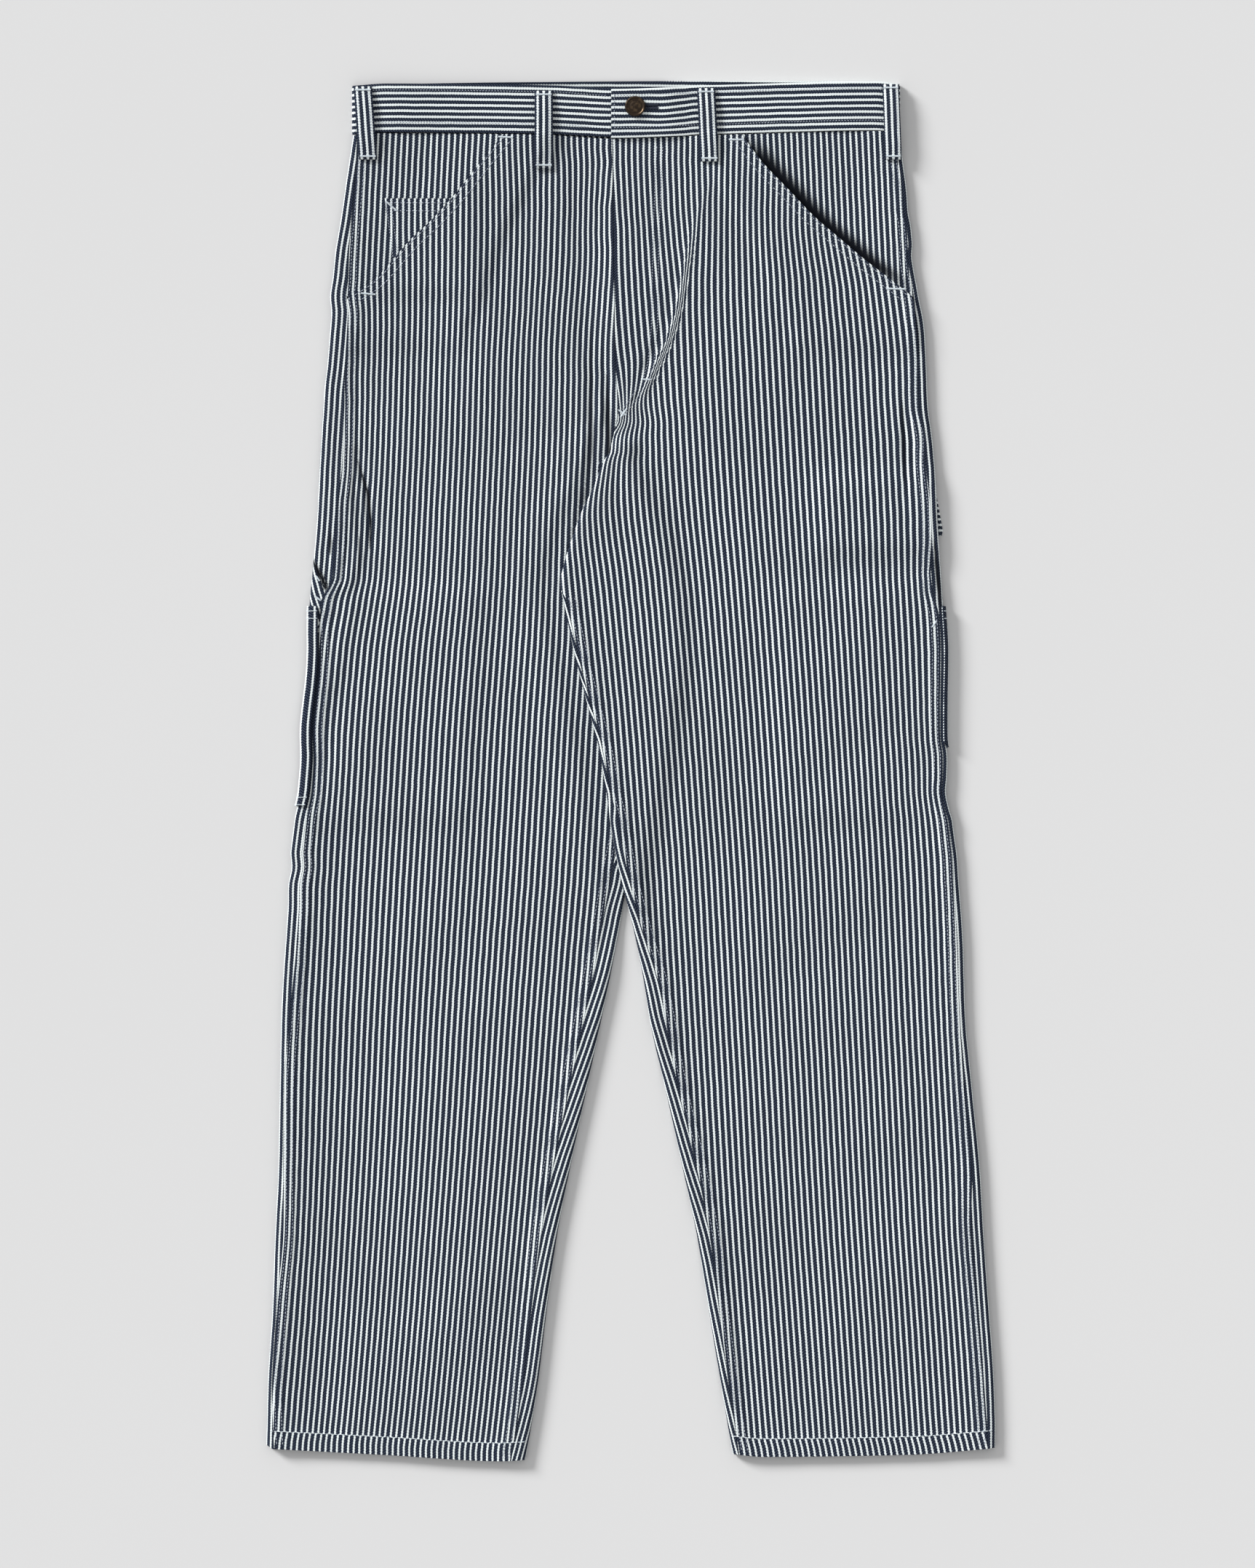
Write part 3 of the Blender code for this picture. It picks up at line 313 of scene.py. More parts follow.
class Half:
    """One side of the trousers: its outlines, seams, pocket mouth and stripes, as functions of drop."""

    def __init__(self, sign, outer, waves, drawn, inner, mouth, facing_end, hem, grain, tool):
        self.sign = sign
        edge, wave = column(outer, "edge"), curve(waves)
        self.outer = lambda drop: edge(drop) + wave(drop)
        seam, self.drawn = column(outer, "seam"), curve(drawn)
        self.seam = lambda drop: seam(drop) + self.drawn(drop)
        # Above the crotch the inner edges lie a little past the centre seam, which joins them.
        past_centre, front, back = (2.0, 2.15, -1.65) if sign < 0 else (-SLIM_ROLL, 2.45, -2.95)
        hip = [Inner(row.drop, row.x + past_centre, front, back) for row in CENTRE]
        self.inner = column(hip + inner, "edge")
        self.front_seam = column(hip + inner, "front")
        self.back_seam = column(hip + inner, "back")
        self.mouth = column(mouth, "x")
        self.mouth_end = mouth[-1].drop
        self.facing_end = column(facing_end, "x")
        self.facing_bottom = facing_end[-1].drop
        self.hem = curve(hem)
        self.middle = column(grain, "middle")
        self.pitch = column(grain, "pitch")
        self.tool = tool
        calm = [row for row in outer if row.drop in CALM_DROPS]
        self.calm_edge = curve([(row.drop, row.edge - sign * row.seam) for row in calm])


RIGHT = Half(
    -1, RIGHT_OUTER, RIGHT_WAVES, RIGHT_DRAWN, RIGHT_INNER, RIGHT_MOUTH, RIGHT_FACING_END,
    RIGHT_HEM_SAG, RIGHT_GRAIN, RIGHT_TOOL,
)
LEFT = Half(
    1, LEFT_OUTER, LEFT_WAVES, LEFT_DRAWN, LEFT_INNER, LEFT_MOUTH, LEFT_FACING_END,
    LEFT_HEM_SAG, LEFT_GRAIN, LEFT_TOOL,
)


def tool_lift(half, x, drop):
    """How far a leg is raised by the tool pocket under it."""
    inside = half.sign * (half.outer(drop) - x)
    across = 1.0 - ramp(inside, half.tool.under + 8, half.tool.under + 34)
    return LAYER * across * window(drop, half.tool.top - 4, half.tool.bottom + 8, 24)


def under_height(half, x, drop):
    """Height of the under face, raised over the tool pocket, the hammer loop and the lower leg."""
    if half.sign < 0:
        return tool_lift(half, x, drop)
    reach = RIGHT.inner(drop)
    crossing = CROSSED_LEVEL * ramp(drop, 272, 284) * (1.0 - ramp(x, reach + 3, reach + 24))
    strap = ramp(x, HAMMER_LOOP["inner"] - 34, HAMMER_LOOP["inner"] - 8)
    strap = FOLDED_STRAP * strap * window(drop, HAMMER_LOOP["top"] - 2, HAMMER_LOOP["bottom"] + 4, 24)
    return np.maximum(np.maximum(crossing, strap), tool_lift(half, x, drop))


def outer_edge(half, drop):
    x = half.outer(drop)
    slim = window(drop, half.tool.top - 6, half.tool.bottom + 6, 20)
    if half.sign > 0:
        slim = np.maximum(slim, window(drop, HAMMER_LOOP["top"] - 2, HAMMER_LOOP["bottom"] + 4, 20))
    return Edge(x, -half.sign, under_height(half, x, drop), mix(EDGE_ROLL, SLIM_ROLL, slim))


def inner_edge(half, drop):
    x = half.inner(drop)
    crossed = PRESSED_ROLL if half.sign < 0 else SLIM_ROLL
    radius = mix(crossed, EDGE_ROLL, ramp(drop, 640, 700))
    return Edge(x, half.sign, under_height(half, x, drop), radius)


def along_fold(fold, x, drop):
    """A fold's length, and how far along it and to its side each place lies."""
    run = (fold.x1 - fold.x0, fold.drop1 - fold.drop0)
    length = math.hypot(*run)
    along = ((x - fold.x0) * run[0] + (drop - fold.drop0) * run[1]) / length
    aside = ((x - fold.x0) * run[1] - (drop - fold.drop0) * run[0]) / length
    return length, along, aside


def fold_relief(x, drop):
    total = 0.0
    for fold in CREASES:
        length, along, aside = along_fold(fold, x, drop)
        fade = window(along, 0.2 * length, 0.8 * length, 0.35 * length)
        total = total + fold.height * fade * (1.0 - ramp(np.abs(aside), 0.0, 2.0 * fold.width))
    return total


# The raised shoulders beside a sharp fold, against its own depth and width.
SHOULDER_HEIGHT = 0.55
SHOULDER_WIDTH = 3.2


def sharp_folds(x, drop):
    """Narrow folds, deep enough to hold a line of shade."""
    total = 0.0
    for fold in SHARP_FOLDS:
        length, along, aside = along_fold(fold, x, drop)
        across = aside / fold.width
        shape = SHOULDER_HEIGHT * np.exp(-((across / SHOULDER_WIDTH) ** 2)) - np.exp(-(across ** 2))
        total = total + fold.height * shape * window(along, 0.25 * length, 0.75 * length, 0.45 * length)
    return total


def painted_shade_at(half, x, drop):
    """How much painted shade each place takes, from 0 to 1, darkest down the lines of painted shade."""
    darkest = 0.0 * (x + drop)
    for painted_shade in RIGHT_PAINTED_SHADE if half.sign < 0 else LEFT_PAINTED_SHADE:
        for (x0, drop0, width0), (x1, drop1, width1) in zip(painted_shade.points, painted_shade.points[1:]):
            run = (x1 - x0, drop1 - drop0)
            part = ((x - x0) * run[0] + (drop - drop0) * run[1]) / (run[0] ** 2 + run[1] ** 2)
            part = np.clip(part, 0.0, 1.0)
            away = np.hypot(x - x0 - part * run[0], drop - drop0 - part * run[1])
            darkest = np.maximum(darkest, painted_shade.shade * np.exp(-((away / mix(width0, width1, part)) ** 2)))
    return np.minimum(darkest, 1.0)


# Heights of the cloth's slack, and how far its puckers reach from a seam.
SWELL = 0.26
RIPPLE = 0.16
SIDE_PUCKER = 0.17
INSEAM_PUCKER = 0.13
HEM_PUCKER = 0.22
PUCKER_REACH = 9


def slack(half, x, drop):
    """Shallow swells all over a front, and small puckers that the seams and the hem draw up."""
    swell = np.sin(x / 31 + drop / 83 + half.sign) * np.sin(drop / 57 - x / 140)
    ripple = RIPPLE * np.sin(x / 13 - drop / 46 + 2 * np.sin(drop / 90)) * np.sin(drop / 35 + x / 50)
    swell = SWELL * swell + ripple
    from_outer = np.abs(x - half.outer(drop)) - half.seam(drop)
    from_inner = np.abs(x - half.inner(drop)) - half.front_seam(drop)
    waver = 2.2 * np.sin(drop / 41 + half.sign) + drop / 2.1
    at_outer = np.exp(-((from_outer - PUCKER_REACH) / PUCKER_REACH) ** 2)
    at_inner = np.exp(-((from_inner - PUCKER_REACH) / PUCKER_REACH) ** 2)
    pucker = SIDE_PUCKER * at_outer * np.sin(waver)
    pucker = pucker + INSEAM_PUCKER * at_inner * np.sin(waver * 0.93 + 1)
    hem = HEM_PUCKER * np.exp(-((HEM_ROW - drop) / 12) ** 2) * np.sin(x / 4.1 + 2 * np.sin(x / 29))
    return swell + pucker + hem


# Width of a felled seam, and how far the layers inside it and inside the hem raise the cloth.
FELL_WIDTH = 8.2
FELL_RISE = 0.42
HEM_RISE = 0.5


def seam_ridge(half, x, drop):
    """The felled seams and the turned-up hem, raised by the layers inside them."""
    to_outer, to_inner = np.abs(x - half.outer(drop)), np.abs(x - half.inner(drop))
    side = window(to_outer - half.seam(drop), 0.0, FELL_WIDTH, 1.2)
    side = side * ramp(drop, half.mouth_end - 8, half.mouth_end)
    inside = window(to_inner - half.front_seam(drop), 0.0, FELL_WIDTH, 1.2) * ramp(drop, 272, 286)
    hem = ramp(drop, HEM_ROW - 1.2, HEM_ROW + 0.8)
    ridge = np.maximum(FELL_RISE * np.maximum(side, inside), HEM_RISE * hem)
    return ridge * ramp(to_outer, EDGE_ROLL, EDGE_ROLL + 2) * ramp(to_inner, EDGE_ROLL, EDGE_ROLL + 2)


# The swell beside the upper leg, and how far the edges of a front slope down to its outlines.
BESIDE_OVERLAP = 0.9
INNER_SLOPE = 26
OUTER_SLOPE = 46


def top_height(half, x, drop):
    """Height of the upper face, which is the outside of the front."""
    outer = outer_edge(half, drop)
    inner = inner_edge(half, drop)
    under = under_height(half, x, drop)
    level = mix(HIP_LEVEL, LEG_LEVEL, ramp(drop, 250, 330))
    level = under + mix(level, HEM_LEVEL, ramp(drop, HEM_LINE - 60, HEM_LINE - 16))
    at_fly = HIP_LEVEL if half.sign < 0 else FLY_LEVEL
    at_inner = mix(at_fly, inner.base + 2 * inner.radius, ramp(drop, 250, 276))
    pressed = 0.0
    if half.sign < 0:
        pressed = ramp(x, LEFT.inner(drop) - 20, LEFT.inner(drop) - 4)
        shoulder = window(x - LEFT.inner(drop), -32.0, -22.0, 14.0) * ramp(drop, 268, 300)
        level = level + BESIDE_OVERLAP * shoulder * (1.0 - ramp(drop, 560, 640))
        pressed = pressed * ramp(drop, 256, 280) * (1.0 - ramp(drop, 650, 690))
        level = mix(level, PRESSED_LEVEL, pressed)
    from_outer = np.abs(x - outer.x)
    from_inner = np.abs(x - inner.x)
    detail = fold_relief(x, drop) + sharp_folds(x, drop) + slack(half, x, drop)
    level = level + detail * ramp(from_outer, 3, 12) * ramp(from_inner, 3, 12)
    level = mix(level, at_inner, 1.0 - ramp(from_inner, inner.radius, INNER_SLOPE))
    level = mix(level, outer.base + 2 * outer.radius, 1.0 - ramp(from_outer, outer.radius, OUTER_SLOPE))
    on_slope = 1 - ramp(np.minimum(from_outer, from_inner), 20, 40)
    level = level + 0.6 * detail * ramp(from_outer, 4, 10) * ramp(from_inner, 4, 10) * on_slope
    least = under + (PRESSED_LEVEL if half.sign < 0 else LEAST_OVER_BACK)
    level = np.clip(level, least, under + MOST_OVER_BACK)
    level = mix(level, PRESSED_LEVEL, pressed) if half.sign < 0 else level
    return level + seam_ridge(half, x, drop) * (1.0 - pressed)


# How far the cloth stands up where the left pocket mouth gapes.
GAPE = 3.4


def facing_lift(half, x, drop):
    """How far the front is lifted by the facing, the watch pocket and the gape of the pocket mouth."""
    end = half.facing_end(drop)
    lift = LAYER * (1.0 - ramp(half.sign * (end - x), 6, 20)) * (1.0 - ramp(drop, 196, 218))
    if half.sign < 0:
        over_watch = ramp(-x, -WATCH["inner"] - 30, -WATCH["inner"] - 8)
        over_watch = over_watch * (1.0 - ramp(-x, -WATCH["outer_top"] + 5, -WATCH["outer_top"] + 22))
        return lift + LAYER * over_watch * window(drop, WATCH["top"] - 8, WATCH["bottom"] + 6, 18)
    from_mouth = np.abs(x - half.mouth(drop))
    return lift + GAPE * (1.0 - ramp(from_mouth, 2, 24)) * window(drop, 84, 128, 44)


def front_height(half, x, drop):
    """Height of a front where it lies over its pocket facing."""
    return top_height(half, x, drop) + facing_lift(half, x, drop)


def arc_of(radius, distance):
    """Length along the outer face from the outline to a seam that lies this far in from it."""
    size = np.abs(distance)
    bent = radius * np.arccos(np.clip(1.0 - size / radius, -1.0, 1.0))
    return np.copysign(np.where(size < radius, bent, math.pi * radius / 2 + size - radius), distance)


def rolled(half, edge, arc, drop):
    """(x, z, normal x, normal z) on the outside of a leg, an arc's length from its outline."""
    quarter = math.pi * edge.radius / 2
    on_bend = np.abs(arc) < quarter
    angle = np.clip(arc / edge.radius, -math.pi / 2, math.pi / 2)
    past = np.maximum(np.abs(arc) - quarter, 0.0)
    x = edge.x + edge.inward * (edge.radius * (1.0 - np.cos(angle)) + past)
    flat = np.where(arc > 0, top_height(half, x, drop), under_height(half, x, drop))
    z = np.where(on_bend, edge.base + edge.radius * (1.0 + np.sin(angle)), flat)
    return x, z, -edge.inward * np.cos(angle), np.sin(angle)


def spread(start, end, count):
    """Columns from one edge to another, each given row by row."""
    return start + (end - start) * np.linspace(0.0, 1.0, count)


# How far the outer corner of each hem is rounded off.
RIGHT_CORNER = 3.4
LEFT_CORNER = 0.6


def sewn(half, x, drop, band_sag):
    """Moves a row's point to the true waist seam and hem line near those ends."""
    near_waist = 1.0 - ramp(drop, WAIST_SEAM, 110)
    waist = BAND_DEPTH + band_sag(x) + WAIST_GAP - WAIST_SEAM
    corner = RIGHT_CORNER if half.sign < 0 else LEFT_CORNER
    corner = corner * (1.0 - ramp(np.abs(half.outer(HEM_LINE) - x), -1.0, 5.5))
    corner = corner * ramp(drop, HEM_LINE - 16, HEM_LINE)
    return drop + waist * near_waist + half.hem(x) * ramp(drop, 930, HEM_LINE) - corner


front_sag = curve(FRONT_BAND_SAG)
back_sag = curve(BACK_BAND_SAG)
side_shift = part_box("waistband")[0].x / MM - BAND_RIGHT
waist_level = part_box("waistband")[1].y / MM + HIGHEST_SAG


def on_table(x, drop, z):
    """World points, in metres, of places on the garment."""
    x, drop, z = np.broadcast_arrays(x + side_shift, waist_level - drop, z)
    return np.stack([x, drop, z], axis=-1) * MM


# Where the left front is drawn in beside the fly, several stripes are lost in the fold.
TUCK_LINE = curve([
    (60, 68.5), (71, 67.0), (94, 58.5), (110, 52.8), (136, 47.2), (152, 44.1), (168, 41.5), (184, 37.5),
    (201, 32.0), (217, 24.5), (233, 17.0), (252, 3.0), (280, -13.2),
])
TUCK_LOSS = curve([(60, 0.0), (105, 0.5), (162, 2.4), (218, 3.3), (260, 4.0)])
# Below it the lost stripes come back, spreading from the crotch into the upper leg.
CROTCH_FAN = curve([
    (232, 0.0), (250, 1.4), (268, 2.8), (285, 2.5), (303, 1.9), (332, 1.0), (366, 0.5), (420, 0.0),
])
FUNNEL_X = -7.0
# How far the right front's stripes stray sideways, 50 mm and 18 mm from the middle.
STRAY_FAR = curve([
    (44, 1.7), (57, 1.7), (71, 1.1), (85, 0.0), (99, -0.6), (113, -1.1), (150, -0.7), (173, -1.1),
    (230, 0.0),
])
STRAY_NEAR = curve([
    (44, 2.8), (57, 2.3), (71, -0.3), (85, -2.8), (99, -5.0), (113, -5.1), (130, -3.4), (150, -2.5),
    (173, -2.3), (230, 0.0),
])


# How strongly the stripes follow a side seam, and a drawn-in stretch of it, and how far that reaches.
SEAM_PULL, SEAM_REACH = 0.85, 15
DRAWN_PULL, DRAWN_REACH = 0.9, 8
# How far the stripes jump at the hem row, where the cloth is turned up.
HEM_JUMP = 0.42


def front_stripes(half, x, drop):
    """Stripes counted across a front: they follow the seams near them, and fall askew below the hem row."""
    seam_x = half.outer(drop) - half.sign * half.seam(drop)
    drawn = half.sign * half.drawn(drop)
    from_seam = np.abs(x - seam_x)
    drift = SEAM_PULL * (seam_x + drawn - half.calm_edge(drop)) * np.exp(-from_seam / SEAM_REACH)
    drift = drift - DRAWN_PULL * drawn * np.exp(-from_seam / DRAWN_REACH)
    straight = x - drift
    if half.sign > 0:
        fly_side = 1.0 - ramp(x - TUCK_LINE(drop), -5.5, 1.5)
        fly_side = fly_side * (1.0 - ramp(drop, 262, 274))
        squeeze = 1.0 - 0.56 * ramp(drop, 208, 262)
        straight = mix(straight, FUNNEL_X + (straight - FUNNEL_X) / squeeze, fly_side)
        line = mix(TUCK_LINE(drop), half.inner(drop), ramp(drop, 262, 284))
        fan = CROTCH_FAN(drop) * np.exp(-np.maximum(x - line, 0.0) / mix(4.0, 14.0, ramp(drop, 236, 272)))
        lost = np.maximum(TUCK_LOSS(drop) - CROTCH_FAN(drop), 0.0) * fly_side
        count = (straight - half.middle(drop)) / half.pitch(drop) - lost - fan
    else:
        near_fly = np.clip((x + 50) / 32, 0.0, 1.3)
        straight = straight - mix(STRAY_FAR(drop), STRAY_NEAR(drop), near_fly) * ramp(x, -92, -62)
        count = (straight - half.middle(drop)) / half.pitch(drop)
    below_row = np.maximum(drop - HEM_ROW, 0.0)
    from_outer = np.abs(x - half.outer(drop))
    twist = 0.17 + 0.10 * np.exp(-from_outer / 40) if half.sign > 0 else -0.20 * np.exp(-from_outer / 30)
    twist = twist * below_row
    shift = HEM_JUMP * ramp(drop, *HEM_BREAK)
    return count + shift - twist / half.pitch(drop)


def row_drops(first, last, step, extra=()):
    """Rows down a panel, with a narrow one at each end."""
    inside = np.linspace(first, last, max(2, round((last - first) / step)) + 1)[1:-1]
    ends = [first, first + EDGE_CELL, last - EDGE_CELL, last]
    return np.unique(np.concatenate([ends, inside, np.array(extra, float)]))[:, None]


def edged(start, way, end, count):
    """Columns of arc from a cut edge: a narrow one first, then evenly on to the end."""
    return np.hstack([start, spread(start + way * EDGE_CELL, end, count)])


class Shader:
    """A material's node tree while it is written: node() adds any node, and sums are plain expressions."""

    def __init__(self, name):
        self.material = bpy.data.materials.new(name)
        self.material.use_nodes = True
        self.tree = self.material.node_tree
        self.tree.nodes.clear()

    def node(self, kind, settings=None, values=None, output=0):
        made = self.tree.nodes.new(kind)
        for key, value in (settings or {}).items():
            setattr(made, key, value)
        for key, value in (values or {}).items():
            if isinstance(value, Tap):
                self.tree.links.new(value.socket, made.inputs[key])
            else:
                made.inputs[key].default_value = value
        return Tap(self, made.outputs[output])

    def blend(self, factor, a, b, mode="MIX"):
        """A colour between a and b."""
        settings = {"data_type": "RGBA", "blend_type": mode}
        return self.node("ShaderNodeMix", settings, {0: factor, 6: a, 7: b}, 2)

    def finish(self, values):
        surface = self.node("ShaderNodeBsdfPrincipled", None, values)
        output = self.tree.nodes.new("ShaderNodeOutputMaterial")
        self.tree.links.new(surface.socket, output.inputs["Surface"])
        return self.material


class Tap:
    """One output socket, so that an expression on it adds its Math nodes."""

    def __init__(self, shader, socket):
        self.shader = shader
        self.socket = socket

    def math(self, operation, a, b=0.0):
        return self.shader.node("ShaderNodeMath", {"operation": operation}, {0: a, 1: b})

    def __add__(self, other):
        return self.math("ADD", self, other)

    def __radd__(self, other):
        return self.math("ADD", other, self)

    def __sub__(self, other):
        return self.math("SUBTRACT", self, other)

    def __rsub__(self, other):
        return self.math("SUBTRACT", other, self)

    def __mul__(self, other):
        return self.math("MULTIPLY", self, other)

    def __rmul__(self, other):
        return self.math("MULTIPLY", other, self)

    def power(self, exponent):
        return self.math("POWER", self, exponent)

    def sine(self):
        return self.math("SINE", self)

    def fraction(self):
        return self.math("FRACT", self)

    def size(self):
        return self.math("ABSOLUTE", self)

    def step(self, low, high):
        """0 below low, 1 above high, smooth between."""
        values = {0: self, 1: low, 2: high, 3: 0.0, 4: 1.0}
        return self.shader.node("ShaderNodeMapRange", {"interpolation_type": "SMOOTHSTEP"}, values)


# Indigo and white yarns, the painted shade that darkens the white yarn in the twill's grooves, the near-black
# painted shade for deep hollows, and the width of the white stripe as a share of the repeat.
INDIGO = (0.0030, 0.0072, 0.0205, 1.0)
INDIGO_RIDGE = (0.078, 0.097, 0.138, 1.0)
WHITE_YARN = (0.83, 0.88, 0.865, 1.0)
WHITE_SHADE = (0.56, 0.63, 0.68, 1.0)
DEEP_SHADE = (0.0015, 0.0025, 0.0060, 1.0)
WHITE_SHARE = 0.328
# How far a stripe's edge wavers, is bitten by the twill and by single yarns, and is soft, in stripes.
STRIPE_WAVER = 0.10
TWILL_BITE = 0.085
YARN_BITE = 0.04
SOFT_EDGE = 0.022
# Distances between twill ridges along the stripe and across it, in millimetres.
TWILL_ALONG = 2.10
TWILL_ACROSS = 1.95


def striped_twill(name, share=WHITE_SHARE):
    """Stripe twill on the piece's own UV map: u counts stripes, v runs along them in the same unit."""
    shader = Shader(name)
    place = shader.node("ShaderNodeUVMap", {"uv_map": "grain"})
    u = shader.node("ShaderNodeSeparateXYZ", None, {0: place})
    v = shader.node("ShaderNodeSeparateXYZ", None, {0: place}, 1)

    def noise(scale, detail):
        values = {"Vector": place, "Scale": scale, "Detail": detail}
        return shader.node("ShaderNodeTexNoise", {"noise_dimensions": "2D"}, values)

    waver, yarn, fade = noise(0.35, 2.0), noise(6.0, 3.0), noise(0.06, 4.0)
    u = u + (waver - 0.5) * STRIPE_WAVER
    phase = (u * (STRIPE / TWILL_ACROSS) + v * (STRIPE / TWILL_ALONG)) * (2 * math.pi)
    ridge = phase.sine() * 0.5 + 0.5
    from_middle = (u + 0.5).fraction() - 0.5
    from_middle = from_middle.size() + (ridge - 0.5) * TWILL_BITE + (yarn - 0.5) * YARN_BITE
    white = 1.0 - from_middle.step(share / 2 - SOFT_EDGE, share / 2 + SOFT_EDGE)
    ridge_light = ridge.power(3.5) * (0.10 + 1.2 * yarn)
    navy = shader.blend(ridge_light, INDIGO, INDIGO_RIDGE)
    # The white yarn is painted darker toward WHITE_SHADE in the twill's grooves, a painted shade.
    pale = shader.blend((1.0 - ridge).power(1.5) * (0.25 + 0.6 * yarn), WHITE_YARN, WHITE_SHADE)
    colour = shader.blend(white, navy, pale)
    tone = 0.90 + 0.20 * fade
    grey = shader.node("ShaderNodeCombineColor", None, {0: tone, 1: tone, 2: tone})
    colour = shader.blend(1.0, colour, grey, "MULTIPLY")
    # Painted shade: the colour is darkened toward DEEP_SHADE as far as the cloth's per-point painted shade
    # asks, standing in for the shade in deep creases and under folds.
    painted_shade = shader.node("ShaderNodeAttribute", {"attribute_name": "painted_shade"}, None, 2)
    colour = shader.blend(painted_shade, colour, DEEP_SHADE)
    height = ridge * (0.7 + 0.6 * yarn) + white * 0.25
    bump = shader.node("ShaderNodeBump", None, {"Height": height, "Strength": 0.55, "Distance": 0.00016})
    return shader.finish({
        "Base Color": colour, "Roughness": 0.93 - 0.10 * ridge, "Normal": bump,
        "Specular IOR Level": 0.14, "Sheen Weight": 0.03, "Sheen Roughness": 0.5,
    })


twill = striped_twill("striped_twill")


def add_object(name, data):
    made = bpy.data.objects.new(name, data)
    bpy.context.scene.collection.objects.link(made)
    return made


def cloth(name, spots, count, along, wall=WALL, finish=twill, flip=False, painted_shade=0.0):
    """A thin shell of cloth: its outer face passes through a grid of points, and its wall lies inside.

    count and along are the stripe counts across and along, which become the grain map; the painted shade,
    from 0 to 1, is kept on each point for the twill to darken by."""
    painted_shade = np.broadcast_to(painted_shade, spots.shape[:2])
    if flip:
        spots, count, along, painted_shade = spots[:, ::-1], count[:, ::-1], along[:, ::-1], painted_shade[:, ::-1]
    rows, columns = spots.shape[:2]
    index = np.arange(rows * columns).reshape(rows, columns)
    faces = np.stack([index[:-1, :-1], index[1:, :-1], index[1:, 1:], index[:-1, 1:]], axis=-1).reshape(-1, 4)
    mesh = bpy.data.meshes.new(name)
    mesh.from_pydata(spots.reshape(-1, 3).tolist(), [], faces.tolist())
    grain = mesh.uv_layers.new(name="grain")
    values = np.stack([np.broadcast_to(count, index.shape), np.broadcast_to(along, index.shape)], axis=-1)
    grain.data.foreach_set("uv", values.reshape(-1, 2)[faces.reshape(-1)].astype(np.float32).reshape(-1))
    # The painted shade is kept on each point, for the twill to darken its colour by.
    depth = mesh.attributes.new("painted_shade", "FLOAT", "POINT")
    depth.data.foreach_set("value", painted_shade.astype(np.float32).reshape(-1))
    mesh.shade_smooth()
    made = add_object(name, mesh)
    mesh.materials.append(finish)
    solid = made.modifiers.new("wall", "SOLIDIFY")
    solid.thickness = wall * MM
    solid.offset = -1.0
    return made


# Columns of a front's grid: over its inner edge, across its middle, and over its outer edge.
FRONT_COLUMNS = (24, 66, 44)
# The least arc that the edge columns take up, inside and outside.
INNER_ARC, OUTER_ARC = 30.0, 46.0


def front_panel(half, name):
    drop = row_drops(WAIST_SEAM, HEM_LINE, ROW_STEP, HEM_BREAK)
    inner, outer = inner_edge(half, drop), outer_edge(half, drop)
    start = arc_of(inner.radius, half.front_seam(drop))
    inner_arcs = edged(start, 1, np.maximum(INNER_ARC, start + 12.0), FRONT_COLUMNS[0])
    seam = arc_of(outer.radius, half.seam(drop)) + SEAM_GAP / 2
    mouth = arc_of(outer.radius, np.abs(outer.x - half.mouth(drop)))
    seam = np.where(drop < half.mouth_end, mouth, seam)
    outer_arcs = edged(seam, 1, np.maximum(OUTER_ARC, seam + 12.0), FRONT_COLUMNS[2])[:, ::-1]
    x_in, z_in = rolled(half, inner, inner_arcs, drop)[:2]
    x_out, z_out = rolled(half, outer, outer_arcs, drop)[:2]
    x_mid = spread(x_in[:, -1:], x_out[:, :1], FRONT_COLUMNS[1])[:, 1:-1]
    x = np.hstack([x_in, x_mid, x_out])
    z = np.hstack([z_in, top_height(half, x_mid, drop), z_out]) + facing_lift(half, x, drop)
    spots = on_table(x, sewn(half, x, drop, front_sag), z)
    count = front_stripes(half, x, drop)
    # Painted shade along the deep creases and folds of the front.
    painted_shade = painted_shade_at(half, x, drop)
    made = cloth(name, spots, count, drop / STRIPE + 0 * x, flip=half.sign < 0, painted_shade=painted_shade)
    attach(made, "root")
    return made


# Columns of a back's grid: under its outer edge, across its middle, and under its inner edge.
BACK_COLUMNS = (24, 30, 22)
UNDER_ARC = -20.0
# How much a back's stripes fan out on the way down.
BACK_FAN = 0.04
# The right back is folded over itself above the tool pocket, along an edge that slants from here.
FOLDED_DROP, FOLDED_X, FOLDED_SLANT = 371.0, -248.0, 0.5


